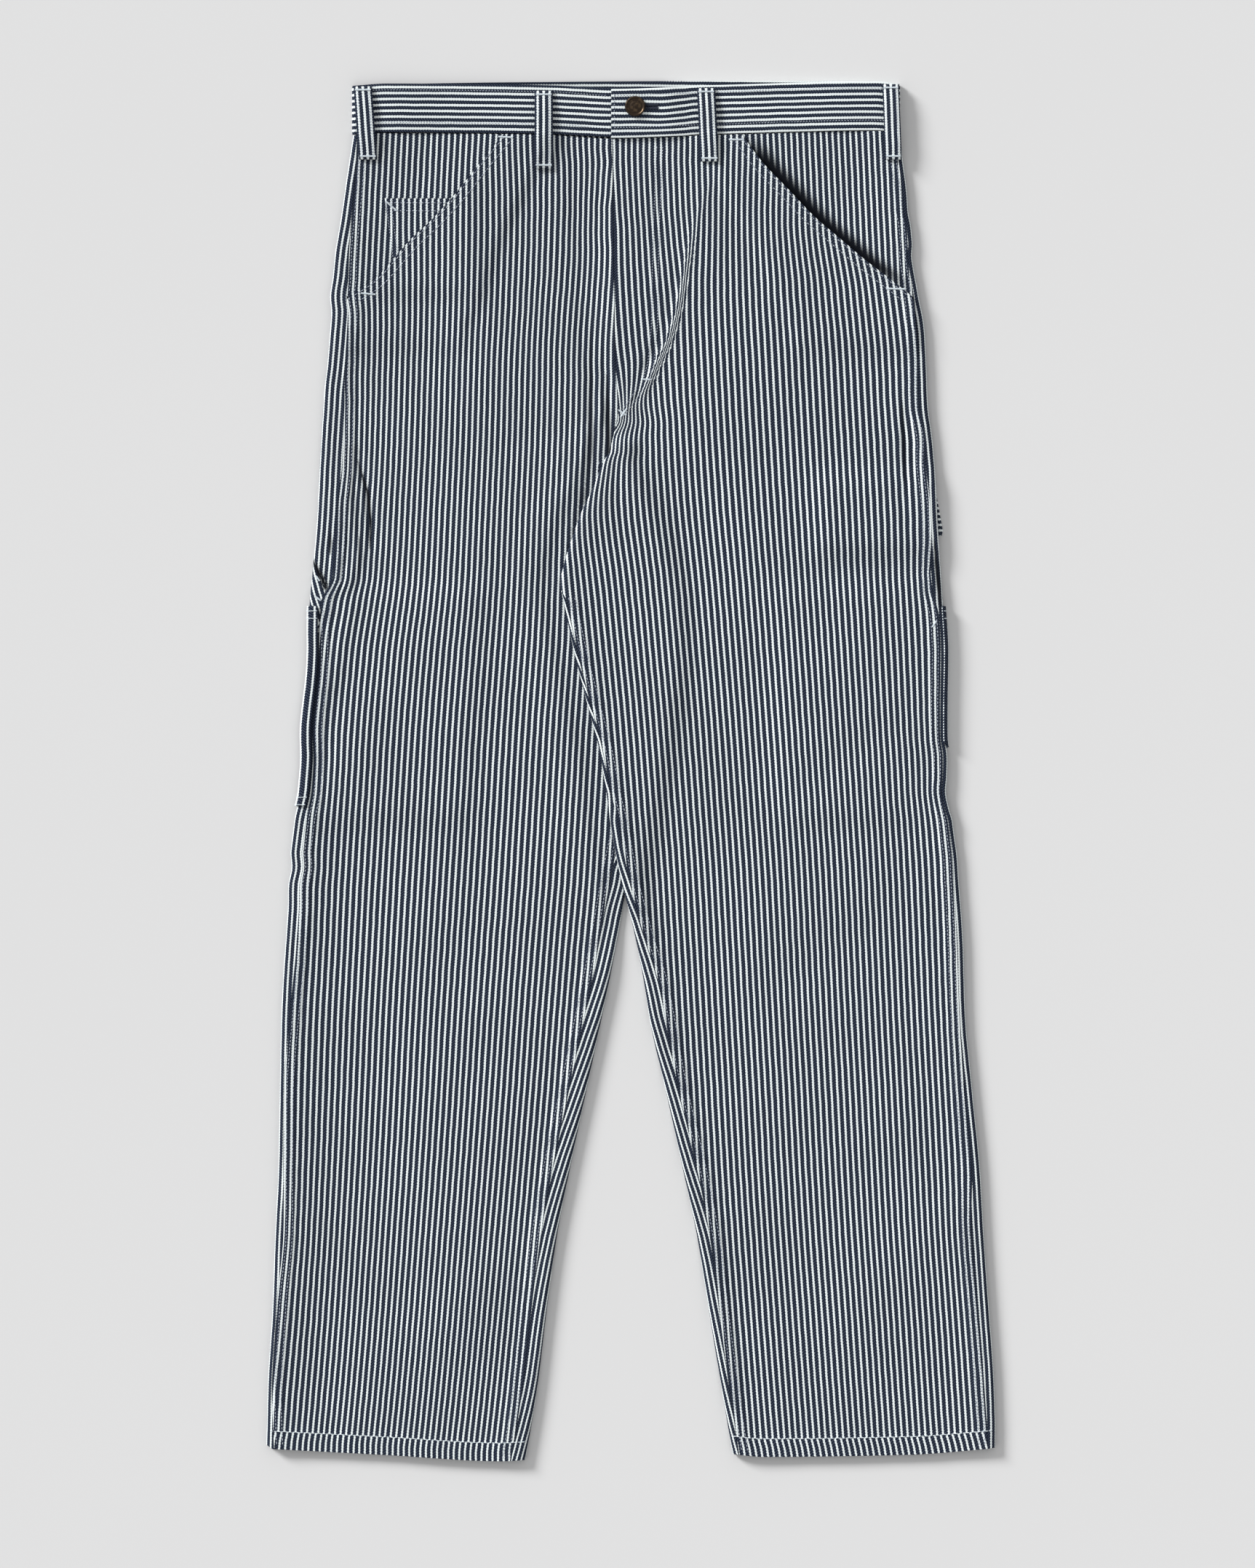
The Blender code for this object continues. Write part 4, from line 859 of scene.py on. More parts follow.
def back_panel(half, name):
    drop = row_drops(WAIST_SEAM, HEM_LINE, ROW_STEP, HEM_BREAK)
    inner, outer = inner_edge(half, drop), outer_edge(half, drop)
    seam = arc_of(outer.radius, half.seam(drop)) - SEAM_GAP / 2
    outer_arcs = edged(seam, -1, np.full_like(drop, UNDER_ARC), BACK_COLUMNS[0])
    start = arc_of(inner.radius, half.back_seam(drop))
    inner_arcs = edged(start, -1, np.full_like(drop, UNDER_ARC), BACK_COLUMNS[2])[:, ::-1]
    x_out, z_out = rolled(half, outer, outer_arcs, drop)[:2]
    x_in, z_in = rolled(half, inner, inner_arcs, drop)[:2]
    x_mid = spread(x_out[:, -1:], x_in[:, :1], BACK_COLUMNS[1])[:, 1:-1]
    x = np.hstack([x_out, x_mid, x_in])
    z = np.hstack([z_out, under_height(half, x_mid, drop), z_in])
    length = np.cumsum(np.hypot(np.diff(x, axis=1), np.diff(z, axis=1)), axis=1)
    length = np.hstack([0 * drop, length]) - seam
    count = (length + BACK_FAN * drop * length / length[:, -1:]) / STRIPE + 0.35
    if half.sign < 0:
        down_fold = drop - FOLDED_DROP
        under_lap = ramp(FOLDED_SLANT * down_fold + FOLDED_X - x, -0.4, 0.4) * window(drop, 372, 424, 1.5)
        count = count + under_lap * (0.45 + 0.085 * down_fold)
    spots = on_table(x, sewn(half, x, drop, back_sag), z)
    # Painted shade on the back, only where it shows above its rolled outline.
    painted_shade = painted_shade_at(half, x, drop) * (z > outer.base + outer.radius)
    made = cloth(name, spots, count, drop / STRIPE + 0 * x, flip=half.sign < 0, painted_shade=painted_shade)
    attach(made, "root")
    return made


right_back = back_panel(RIGHT, "right_back_cloth")
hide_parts("right_back")

right_front = front_panel(RIGHT, "right_front_cloth")
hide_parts("right_front")

# ---- Upper leg (the wearer's left): front and back ----------------------------------------------
# The same two lengths of twill, mirrored. Its inner part lies over the other leg, and its front is
# drawn into a narrow fold beside the fly.

left_back = back_panel(LEFT, "left_back_cloth")
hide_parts("left_back")

left_front = front_panel(LEFT, "left_front_cloth")
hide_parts("left_front")

# ---- Hand pocket facings and watch pocket -------------------------------------------------------
# The pieces of the same twill that close the slanted pocket mouths from inside. They are sewn into
# the side seams, and the small watch pocket is stitched to the right one.


def facing_panel(half, name):
    drop = row_drops(WAIST_SEAM, half.facing_bottom, ROW_STEP)
    outer = outer_edge(half, drop)
    below_mouth = np.maximum(0.0, drop - half.mouth_end) / (half.facing_bottom - half.mouth_end)
    seam = arc_of(outer.radius, half.seam(drop)) + SEAM_GAP / 2 + 30.0 * below_mouth
    arcs = edged(seam, 1, np.maximum(26.0, seam + 10.0), 12)
    x_out, z_out = rolled(half, outer, arcs, drop)[:2]
    x_mid = spread(x_out[:, -1:], half.facing_end(drop), 60)[:, 1:]
    x = np.hstack([x_out, x_mid])[:, ::-1]
    z = np.hstack([z_out, top_height(half, x_mid, drop)])[:, ::-1]
    spots = on_table(x, sewn(half, x, drop, front_sag), z)
    count = (x - half.sign * 0.05 * drop) / STRIPE + 0.3
    # Painted shade: just inside the left pocket mouth the facing is darkened nearly to black, standing in for
    # the shade under the front's lifted edge.
    painted_shade = 0.0 * x
    if half.sign > 0:
        painted_shade = 1.0 * (1.0 - ramp(x - half.mouth(drop), 5.0, 19.0)) * window(drop, 60, 142, 24)
    made = cloth(name, spots, count, drop / STRIPE + 0 * x, flip=half.sign < 0, painted_shade=painted_shade)
    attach(made, "root")
    return made


right_facing = facing_panel(RIGHT, "right_facing_cloth")
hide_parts("right_pocket_facing")

left_facing = facing_panel(LEFT, "left_facing_cloth")
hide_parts("left_pocket_facing")

drop = row_drops(WATCH["top"], WATCH["bottom"], ROW_STEP)
part = (drop - WATCH["top"]) / (WATCH["bottom"] - WATCH["top"])
outer_x = mix(WATCH["outer_top"], WATCH["outer_bottom"], part)
x = spread(WATCH["inner"] + 0 * drop, outer_x, 18)
spots = on_table(x, sewn(RIGHT, x, drop, front_sag), top_height(RIGHT, x, drop) + LAYER)
watch = cloth("watch_pocket_cloth", spots, x / STRIPE + 0.55, drop / STRIPE + 0 * x, flip=True)
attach(watch, "root")
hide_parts("watch_pocket")

# ---- Tool pockets and hammer loop ---------------------------------------------------------------
# Patch pockets sewn on the outside of both backs, so that only an edge shows past the side seams, and
# a strap of twill folded on itself that stands out at the left side.

# How far the upper edges stand above the room kept for them, and where the right one ends.
TOOL_LIP = 2.6
RIGHT_TOOL_FOOT = 563.0
# The lower front corner of the left one is tucked under the leg from here down.
TUCKED_FROM, TUCKED_TO = 515.0, 523.0
TUCKED_ARC = -6.0
# Where a pocket's narrow columns, which bend round the leg's edge, give way to wide ones.
BEND_END = -16.0


def tool_pocket(half, name):
    foot = RIGHT_TOOL_FOOT if half.sign < 0 else half.tool.bottom
    drop = row_drops(half.tool.top - TOOL_LIP, foot, ROW_STEP)
    outer = outer_edge(half, drop)
    wrap = arc_of(outer.radius, half.tool.wrap)
    if half.sign > 0:
        wrap = mix(wrap, TUCKED_ARC, ramp(drop, TUCKED_FROM, TUCKED_TO))
    end = -math.pi * outer.radius / 2 - half.tool.under
    arcs = np.hstack([spread(wrap, BEND_END, 26), spread(0 * drop + BEND_END, end, 16)[:, 1:]])
    x, z, out_x, out_z = rolled(half, outer, arcs, drop)
    x, z = x + LAYER * out_x, z + LAYER * out_z
    count = half.sign * arcs / STRIPE + 0.2
    made = cloth(name, on_table(x, drop, z), count, drop / STRIPE + 0 * x, flip=half.sign < 0)
    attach(made, "root")
    return made


right_tool = tool_pocket(RIGHT, "right_tool_cloth")
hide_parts("right_tool_pocket")

left_tool = tool_pocket(LEFT, "left_tool_cloth")
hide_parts("left_tool_pocket")

# The stripes that lie level show a little more white.
LEVEL_WHITE_SHARE = 0.385
HAMMER_LEAN = 5.4
HAMMER_CORNER = 1.6

band_twill = striped_twill("band_twill", LEVEL_WHITE_SHARE)

roll = HAMMER_LOOP["roll"]
fold = HAMMER_LOOP["fold"]
turn = np.linspace(math.pi / 2, -math.pi / 2, 11)
strap_x = np.concatenate([
    np.linspace(HAMMER_LOOP["upper_end"], fold - roll, 10)[:-1], fold - roll + roll * np.cos(turn),
    np.linspace(fold - roll, HAMMER_LOOP["inner"], 20)[1:],
])
strap_z = np.concatenate([np.full(9, 2 * roll), roll * (1 + np.sin(turn)), np.zeros(19)])
drop = row_drops(HAMMER_LOOP["top"], HAMMER_LOOP["bottom"], ROW_STEP)
length = np.concatenate([[0.0], np.cumsum(np.hypot(np.diff(strap_x), np.diff(strap_z)))])
lean = (HAMMER_LOOP["bottom"] - drop) / (HAMMER_LOOP["bottom"] - HAMMER_LOOP["top"])
corner = HAMMER_CORNER * ramp(drop, HAMMER_LOOP["bottom"] - 2.4, HAMMER_LOOP["bottom"]) ** 2
lean = (HAMMER_LEAN * lean + corner) * ramp(strap_x[None, :], 200, 236)
hammer = cloth(
    "hammer_loop_cloth", on_table(strap_x[None, :] - lean, drop + 0.35 * lean, strap_z[None, :]),
    0.68 - drop / STRIPE + 0 * strap_x, length / STRIPE + 0 * drop, finish=band_twill,
)
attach(hammer, "root")
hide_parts("hammer_loop")

# ---- Waistband ----------------------------------------------------------------------------------
# One doubled length of the twill with its stripes lying level, closed at the fly with the left end on
# top. It is sewn to the fronts and backs along its lower edge.

# The room kept for the doubled cloth, and the cloth itself.
BAND_WALL = 2.4
BAND_CLOTH = 2.0
BAND_LEFT = 209.8
BAND_END = -15.2
UNDERLAP_END = 24.0
BAND_ROLL = 3.0
# Height of the upper face of the end that lies below, and of the end that laps over it.
UNDERLAP = 5.2
LAP = UNDERLAP + BAND_WALL + SEAM_GAP
EDGE_ROUND = 0.35


def lower_band(x):
    """Height of the band's upper face on its right part, and of the underlap."""
    ripple = 0.25 + 0.25 * np.sin(x / 15 + 1.2 * np.sin(x / 37))
    return mix(UNDERLAP, 2 * BAND_ROLL, ramp(-x, 60, 180)) + ripple * window(x, -185, -50, 20)


def upper_band(x):
    """Height of the upper face of the band's left part, which laps over the right one at the fly."""
    ripple = 0.25 + 0.25 * np.sin(x / 17 + 1.4 * np.sin(x / 31))
    return mix(5.4, LAP, 1.0 - ramp(x, 27, 50)) + 0.6 * ramp(x, 100, 190) + ripple * window(x, 55, 180, 20)


def band_top(x):
    return np.where(x < BAND_END, lower_band(x), upper_band(x))


def turned(edge, inward, way):
    """(x, z, normal x, normal z) round the band's folded side."""
    angle = np.linspace(math.pi / 2, -math.pi / 2, 13) * way
    x = edge + inward * BAND_ROLL * (1 - np.cos(angle))
    return np.stack([x, BAND_ROLL * (1 + np.sin(angle)), -inward * np.cos(angle), np.sin(angle)])


def level_run(x, z, up):
    return np.stack([x, z, 0 * x, 0 * x + up])


right_x = np.concatenate([[UNDERLAP_END, UNDERLAP_END - EDGE_CELL], np.arange(22.0, -212.0, -2.0)])
back_x = np.linspace(BAND_RIGHT + BAND_ROLL, BAND_LEFT - BAND_ROLL, 150)[1:-1]
left_x = np.concatenate([np.arange(204.0, -14.0, -2.0), [BAND_END + EDGE_CELL, BAND_END]])
runs = [
    level_run(right_x, lower_band(right_x), 1.0), turned(BAND_RIGHT, 1, 1),
    level_run(back_x, 0 * back_x, -1.0), turned(BAND_LEFT, -1, -1),
    level_run(left_x, upper_band(left_x), 1.0),
]
band_x, band_z, band_out_x, band_out_z = np.hstack(runs)
on_back = mix(1.0, 0.0, np.clip(band_z / (2 * BAND_ROLL), 0.0, 1.0))
band_sag = mix(front_sag(band_x), back_sag(band_x), on_back)
down = row_drops(0.0, BAND_DEPTH, 2.5)
rounding = EDGE_ROUND * (1.0 - ramp(np.minimum(down, BAND_DEPTH - down), 0.0, 1.4))
spots = on_table(band_x - rounding * band_out_x, band_sag + down, band_z - rounding * band_out_z)
length = np.concatenate([[0.0], np.cumsum(np.hypot(np.diff(band_x), np.diff(band_z)))])
# Its stripes sag a little where the button pulls, and lie half a stripe lower on its lapping end.
BAND_PULL = 1.5
RIGHT_PHASE, LEFT_PHASE = 0.62, 1.11
pull = BAND_PULL * np.exp(-((band_x - 26) / 15) ** 2) * (band_x > BAND_END) * (band_z > 4)
to_left = ramp(band_x, -60, 160) * (on_back > 0.5) + (on_back <= 0.5) * (length > length[-1] / 2)
phase = mix(RIGHT_PHASE, LEFT_PHASE, to_left)
band_count = phase - (down - pull * np.sin(math.pi * down / BAND_DEPTH)) / STRIPE
band = cloth(
    "waistband_cloth", spots, band_count, -length / STRIPE + 0 * down,
    wall=BAND_CLOTH, finish=band_twill, flip=True,
)
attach(band, "root")
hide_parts("waistband")

# ---- Buttonhole and button ----------------------------------------------------------------------
# A keyhole buttonhole is cut through the upper end of the band. A dark brass shank button stands on
# the lower end and passes through it.

BUTTON_X = 3.4
BUTTON_DROP = 18.1
BUTTON_RADIUS = 8.0
SHANK_RADIUS = 1.9
EYE_RADIUS = 2.6
SLOT_END = 20.4
SLOT_WIDTH = 1.6
CUT_HEIGHT = 8.0
button_place = ((BUTTON_X + side_shift) * MM, (waist_level - BUTTON_DROP) * MM)


def cut_from_band(name, shape):
    low = (UNDERLAP + SEAM_GAP / 2) * MM
    bmesh.ops.translate(shape, verts=shape.verts, vec=(*button_place, low + CUT_HEIGHT / 2 * MM))
    mesh = bpy.data.meshes.new(name)
    shape.to_mesh(mesh)
    shape.free()
    cutter = add_object(name, mesh)
    cut = band.modifiers.new(name, "BOOLEAN")
    cut.operation = "DIFFERENCE"
    cut.solver = "EXACT"
    cut.object = cutter
    return cutter


eye = bmesh.new()
bmesh.ops.create_cone(
    eye, cap_ends=True, segments=24, radius1=EYE_RADIUS * MM, radius2=EYE_RADIUS * MM, depth=CUT_HEIGHT * MM
)
slot = bmesh.new()
bmesh.ops.create_cube(slot, size=1.0)
slot_length = SLOT_END - BUTTON_X
bmesh.ops.scale(slot, verts=slot.verts, vec=(slot_length * MM, SLOT_WIDTH * MM, CUT_HEIGHT * MM))
bmesh.ops.translate(slot, verts=slot.verts, vec=(slot_length / 2 * MM, 0.0, 0.0))
cutters = [cut_from_band("buttonhole_eye", eye), cut_from_band("buttonhole_slot", slot)]
graph = bpy.context.evaluated_depsgraph_get()
whole = bpy.data.meshes.new_from_object(band.evaluated_get(graph))
band.modifiers.clear()
band.data = whole
for cutter in cutters:
    bpy.data.objects.remove(cutter)

DARK_BRASS = (0.040, 0.028, 0.020, 1.0)
WORN_BRASS = (0.120, 0.082, 0.050, 1.0)

shader = Shader("button_metal")
spot = shader.node("ShaderNodeTexCoord", None, None, 3)
wear = shader.node("ShaderNodeTexNoise", None, {"Vector": spot, "Scale": 420.0, "Detail": 3.0})
patina = wear.step(0.45, 0.72)
brass = shader.blend(patina, DARK_BRASS, WORN_BRASS)
cast = shader.node("ShaderNodeBump", None, {"Height": wear, "Strength": 0.15, "Distance": 0.0001})
button_metal = shader.finish({
    "Base Color": brass, "Metallic": 0.92, "Roughness": 0.52 - 0.2 * patina, "Normal": cast,
})

# The cap from its middle to its rim and back below: share of its radius, and height in millimetres.
BUTTON_PROFILE = [
    (0.0, 2.55), (0.10, 2.50), (0.16, 2.30), (0.30, 2.34), (0.44, 2.30), (0.50, 2.05), (0.72, 1.90),
    (0.78, 2.00), (0.83, 2.42), (0.89, 2.52), (0.95, 2.20), (1.0, 1.30), (0.95, 0.40), (0.82, 0.0),
]
BUTTON_STEPS = 64
BEADS = 36
BEAD_RADIUS = 0.36
BEAD_RING = 0.61
BEAD_LEVEL = 1.95

foot = UNDERLAP + SEAM_GAP
cap = foot + BAND_WALL + SEAM_GAP
turning = bmesh.new()
spun = [turning.verts.new((r * BUTTON_RADIUS * MM, 0.0, (cap + z) * MM)) for r, z in BUTTON_PROFILE]
spun += [turning.verts.new((SHANK_RADIUS * MM, 0.0, z * MM)) for z in (cap + 0.3, foot)]
spun.append(turning.verts.new((0.0, 0.0, foot * MM)))
for a, b in zip(spun, spun[1:]):
    turning.edges.new((a, b))
outline = turning.verts[:] + turning.edges[:]
bmesh.ops.spin(turning, geom=outline, angle=2 * math.pi, steps=BUTTON_STEPS, axis=(0, 0, 1))
bmesh.ops.remove_doubles(turning, verts=turning.verts, dist=0.00002)
ring = BEAD_RING * BUTTON_RADIUS * MM
for k in range(BEADS):
    angle = 2 * math.pi * k / BEADS
    bead = (ring * math.cos(angle), ring * math.sin(angle), (cap + BEAD_LEVEL) * MM)
    made = bmesh.ops.create_icosphere(turning, subdivisions=1, radius=BEAD_RADIUS * MM)
    bmesh.ops.translate(turning, verts=made["verts"], vec=bead)
bmesh.ops.translate(turning, verts=turning.verts, vec=(*button_place, 0.0))
bmesh.ops.recalc_face_normals(turning, faces=turning.faces)
mesh = bpy.data.meshes.new("button_cap")
turning.to_mesh(mesh)
turning.free()
mesh.shade_smooth()
mesh.materials.append(button_metal)
button = add_object("button_cap", mesh)
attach(button, "root")
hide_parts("button")

# ---- Belt loops ---------------------------------------------------------------------------------
# Folded strips of the twill, three stripes wide, tacked down above the band's top seam and below its
# bottom one.

Loop = namedtuple("Loop", "name node top_x bottom_x top bottom width")
BELT_LOOPS = [
    Loop("right_side_loop", "belt_loop_right_side", -208.8, -204.6, 2.6, 59.5, 14.2),
    Loop("right_front_loop", "belt_loop_right_front", -67.8, -67.8, 6.0, 66.5, 14.2),
    Loop("left_front_loop", "belt_loop_left_front", 58.6, 61.4, 4.0, 61.0, 14.2),
    Loop("left_side_loop", "belt_loop_left_side", 202.4, 204.6, 0.8, 59.5, 13.0),
]
# The room kept for a loop's cloth, and the cloth itself.
LOOP_WALL = 1.8
LOOP_CLOTH = 1.6
LOOP_ARCH = 1.4
LOOP_CLEARANCE = 0.7


def cover_height(half, x, drop):
    """Height of what shows on top: the front inside the pocket mouth, and the facing outside it."""
    inside_mouth = half.sign * (half.mouth(drop) - x) > -2
    return top_height(half, x, drop) + np.where(inside_mouth, facing_lift(half, x, drop), 0.0)


def loop_height(loop, x, part):
    half = RIGHT if loop.top_x < 0 else LEFT
    drop = mix(loop.top, loop.bottom, part)
    inside = np.clip(x, BAND_RIGHT + BAND_ROLL, BAND_LEFT - BAND_ROLL)
    over_front = cover_height(half, inside, np.maximum(drop, WAIST_SEAM))
    z = mix(band_top(inside), over_front, ramp(drop, BAND_DEPTH + 3, BAND_DEPTH + 12))
    z = np.where(drop > BAND_DEPTH, np.maximum(z, over_front), z)
    arch = LOOP_ARCH * ramp(part, 0.05, 0.25) * (1.0 - ramp(part, 0.75, 0.97))
    return z + LOOP_CLEARANCE + LOOP_WALL + arch


for loop in BELT_LOOPS:
    part = np.linspace(0.0, 1.0, 34)[:, None]
    across = np.array([-0.5, -0.47, -0.4, -0.28, -0.14, 0.0, 0.14, 0.28, 0.4, 0.47, 0.5])
    x = mix(loop.top_x, loop.bottom_x, part) + loop.width * across
    z = loop_height(loop, x, part) - 0.5 * ramp(np.abs(across), 0.42, 0.5)
    made = cloth(
        loop.name + "_cloth", on_table(x, mix(loop.top, loop.bottom, part), z),
        across * loop.width / STRIPE + 0 * x, part * (loop.bottom - loop.top) / STRIPE + 0 * x,
        wall=LOOP_CLOTH, finish=band_twill,
    )
    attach(made, "root")
    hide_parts(loop.node)
    size = (loop.width * MM, (loop.bottom - loop.top) * MM)
    size[0] * size[1]

# ---- Stitching ----------------------------------------------------------------------------------
# Rows of pale thread along every seam, pocket and hem, and dense bars of thread at the points of
# strain. Each stitch is a small lozenge set on a line that follows the cloth.

Thread = namedtuple("Thread", "pitch length width height")
SEAM_THREAD = Thread(2.9, 2.3, 0.62, 0.40)
BAND_THREAD = Thread(2.3, 1.5, 0.62, 0.40)
HEM_THREAD = Thread(2.9, 2.95, 0.72, 0.60)
BAR_THREAD = Thread(0.40, 0.46, 1.7, 0.6)
BORDER_THREAD = Thread(0.42, 0.50, 2.9, 0.5)
# How far a stitch's middle stands off the cloth, and the step along the lines that carry stitches.
ABOVE = 0.20
LINE_STEP = 3.0


def stitch_nodes():
    """Nodes that set a stitch at every pitch of the given lines, turned along them."""
    group = bpy.data.node_groups.new("stitches", "GeometryNodeTree")
    group.interface.new_socket("Lines", in_out="INPUT", socket_type="NodeSocketGeometry")
    group.interface.new_socket("Pitch", in_out="INPUT", socket_type="NodeSocketFloat")
    group.interface.new_socket("Size", in_out="INPUT", socket_type="NodeSocketVector")
    group.interface.new_socket("Thread", in_out="INPUT", socket_type="NodeSocketMaterial")
    group.interface.new_socket("Stitches", in_out="OUTPUT", socket_type="NodeSocketGeometry")

    def node(kind, links, settings=None, values=None):
        made = group.nodes.new(kind)
        for key, value in (settings or {}).items():
            setattr(made, key, value)
        for key, value in (values or {}).items():
            made.inputs[key].default_value = value
        for key, source in links.items():
            group.links.new(source, made.inputs[key])
        return made

    given = group.nodes.new("NodeGroupInput").outputs
    line = node("GeometryNodeMeshToCurve", {"Mesh": given["Lines"]})
    cut = node(
        "GeometryNodeResampleCurve", {"Curve": line.outputs[0], "Length": given["Pitch"]}, {"mode": "LENGTH"},
    )
    ball = node("GeometryNodeMeshUVSphere", {}, None, {"Segments": 6, "Rings": 4, "Radius": 0.5})
    shaped = node("GeometryNodeTransform", {"Geometry": ball.outputs[0], "Scale": given["Size"]})
    way = node("GeometryNodeInputTangent", {})
    turned_to = node("FunctionNodeAlignRotationToVector", {"Vector": way.outputs[0]}, {"axis": "X"})
    vary = node(
        "FunctionNodeRandomValue", {}, {"data_type": "FLOAT_VECTOR"},
        {0: (0.88, 0.85, 0.85), 1: (1.06, 1.12, 1.12), "Seed": 4},
    )
    placed = node("GeometryNodeInstanceOnPoints", {
        "Points": cut.outputs[0], "Instance": shaped.outputs[0], "Rotation": turned_to.outputs[0],
        "Scale": vary.outputs[0],
    })
    real = node("GeometryNodeRealizeInstances", {"Geometry": placed.outputs[0]})
    dyed = node("GeometryNodeSetMaterial", {"Geometry": real.outputs[0], "Material": given["Thread"]})
    smooth = node("GeometryNodeSetShadeSmooth", {"Geometry": dyed.outputs[0]})
    result = group.nodes.new("NodeGroupOutput")
    group.links.new(smooth.outputs[0], result.inputs[0])
    return group


stitch_group = stitch_nodes()


def thread_finish(name, colour, shade):
    shader = Shader(name)
    spot = shader.node("ShaderNodeTexCoord", None, None, 3)
    ply = shader.node("ShaderNodeTexNoise", None, {"Vector": spot, "Scale": 2600.0, "Detail": 2.0})
    tone = shader.node("ShaderNodeTexNoise", None, {"Vector": spot, "Scale": 60.0, "Detail": 2.0})
    dye = shader.blend((ply * 0.7 + tone * 0.4).step(0.25, 0.85), colour, shade)
    twist = shader.node("ShaderNodeBump", None, {"Height": ply, "Strength": 0.5, "Distance": 0.0001})
    return shader.finish({"Base Color": dye, "Roughness": 0.62 + 0.2 * ply, "Normal": twist})


pale_thread = thread_finish("pale_thread", (0.62, 0.66, 0.72, 1.0), (0.13, 0.17, 0.27, 1.0))
white_thread = thread_finish("white_thread", (0.80, 0.86, 0.89, 1.0), (0.55, 0.63, 0.70, 1.0))
navy_thread = thread_finish("navy_thread", (0.016, 0.024, 0.050, 1.0), (0.006, 0.009, 0.020, 1.0))


def stitches(name, lines, thread, finish=pale_thread):
    """Sews stitches along lines of world points, as one piece."""
    starts = np.cumsum([0] + [len(line) for line in lines])
    edges = [(k, k + 1) for a, b in zip(starts, starts[1:]) for k in range(a, b - 1)]
    mesh = bpy.data.meshes.new(name)
    mesh.from_pydata(np.concatenate(lines).tolist(), edges, [])
    guide = add_object(name + "_guide", mesh)
    sew = guide.modifiers.new("stitches", "NODES")
    sew.node_group = stitch_group
    size = (thread.length * MM, thread.width * MM, thread.height * MM)
    values = {"Pitch": thread.pitch * MM, "Size": size, "Thread": finish}
    for item in stitch_group.interface.items_tree:
        if item.name in values:
            sew[item.identifier] = values[item.name]
    graph = bpy.context.evaluated_depsgraph_get()
    sewn_mesh = bpy.data.meshes.new_from_object(guide.evaluated_get(graph))
    bpy.data.objects.remove(guide)
    made = add_object(name, sewn_mesh)
    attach(made, "root")
    return made


def seam_row(half, edge, seam, offset, first, last):
    """A line this far inside a front's edge, along a side or inner seam."""
    drop = np.arange(first, last, LINE_STEP)[:, None]
    edge = edge(half, drop)
    arc = arc_of(edge.radius, seam(drop)) + offset
    x, z, out_x, out_z = rolled(half, edge, arc, drop)
    z = z + facing_lift(half, x, drop) + ABOVE * out_z
    return on_table(x + ABOVE * out_x, sewn(half, x, drop, front_sag), z)[:, 0]


def facing_row(half, offset):
    """A line this far inside a facing's sewn edge, above the lower end of the pocket mouth."""
    drop = np.arange(WAIST_SEAM + 4, half.mouth_end - 4, LINE_STEP)[:, None]
    edge = outer_edge(half, drop)
    x, z, out_x, out_z = rolled(half, edge, arc_of(edge.radius, half.seam(drop)) + offset, drop)
    return on_table(x + ABOVE * out_x, sewn(half, x, drop, front_sag), z + ABOVE * out_z)[:, 0]


def front_line(half, points, offset=0.0):
    """A line over a front through (x, drop) points, moved sideways by an offset."""
    knots = np.array(points, float)
    steps = np.concatenate([[0.0], np.cumsum(np.hypot(*np.diff(knots, axis=0).T))])
    at = np.linspace(0.0, steps[-1], max(2, int(steps[-1] / 2.5)))
    x, drop = np.interp(at, steps, knots[:, 0]), np.interp(at, steps, knots[:, 1])
    run = np.stack([np.gradient(x), np.gradient(drop)]) / np.hypot(np.gradient(x), np.gradient(drop))
    x, drop = x + offset * run[1], drop - offset * run[0]
    z = front_height(half, x, drop) + ABOVE
    return on_table(x, sewn(half, x, drop, front_sag), z)


def mouth_points(half, first, last):
    drop = np.linspace(first, last, 40)
    return np.stack([half.mouth(drop), drop], axis=1)


# The double rows: how far each row lies inside the edge that it holds.
FELL_ROWS = (2.3, 7.0)
FACING_ROWS = (2.0, 6.2)
MOUTH_ROWS = (1.7, 7.4)

for half, side, first_inner in ((RIGHT, "right", 296.0), (LEFT, "left", 402.0)):
    lines = []
    for offset in FELL_ROWS:
        lines.append(seam_row(half, outer_edge, half.seam, offset, half.mouth_end + 2, HEM_LINE - 2))
        lines.append(seam_row(half, inner_edge, half.front_seam, offset, first_inner, HEM_LINE - 2))
    lines += [facing_row(half, offset) for offset in FACING_ROWS]
    for offset in MOUTH_ROWS:
        lines.append(front_line(half, mouth_points(half, 42, half.mouth_end - 3), -half.sign * offset))
    stitches(side + "_seam_stitches", lines, SEAM_THREAD)
    ends = (half.inner(HEM_ROW) + half.sign * 4, half.outer(HEM_ROW) - half.sign * 4)
    hem_points = [(x, HEM_ROW) for x in ends]
    stitches(side + "_hem_stitches", [front_line(half, hem_points)], HEM_THREAD, white_thread)


def tool_line(half, arcs, drops):
    """A line on a tool pocket, from one arc and drop to another."""
    at = np.linspace(0.0, 1.0, 60)
    arc, drop = mix(arcs[0], arcs[1], at), mix(drops[0], drops[1], at)
    x, z, out_x, out_z = rolled(half, outer_edge(half, drop), arc, drop)
    reach = LAYER + ABOVE
    return on_table(x + reach * out_x, drop, z + reach * out_z)


# The hem and edge rows of the tool pockets, on the stretch that shows past the side seams.
TOP_ROWS = (1.2, 7.0)
FOOT_ROWS = (6.6, 0.8)
EDGE_THREAD = Thread(2.6, 2.7, 0.45, 0.35)

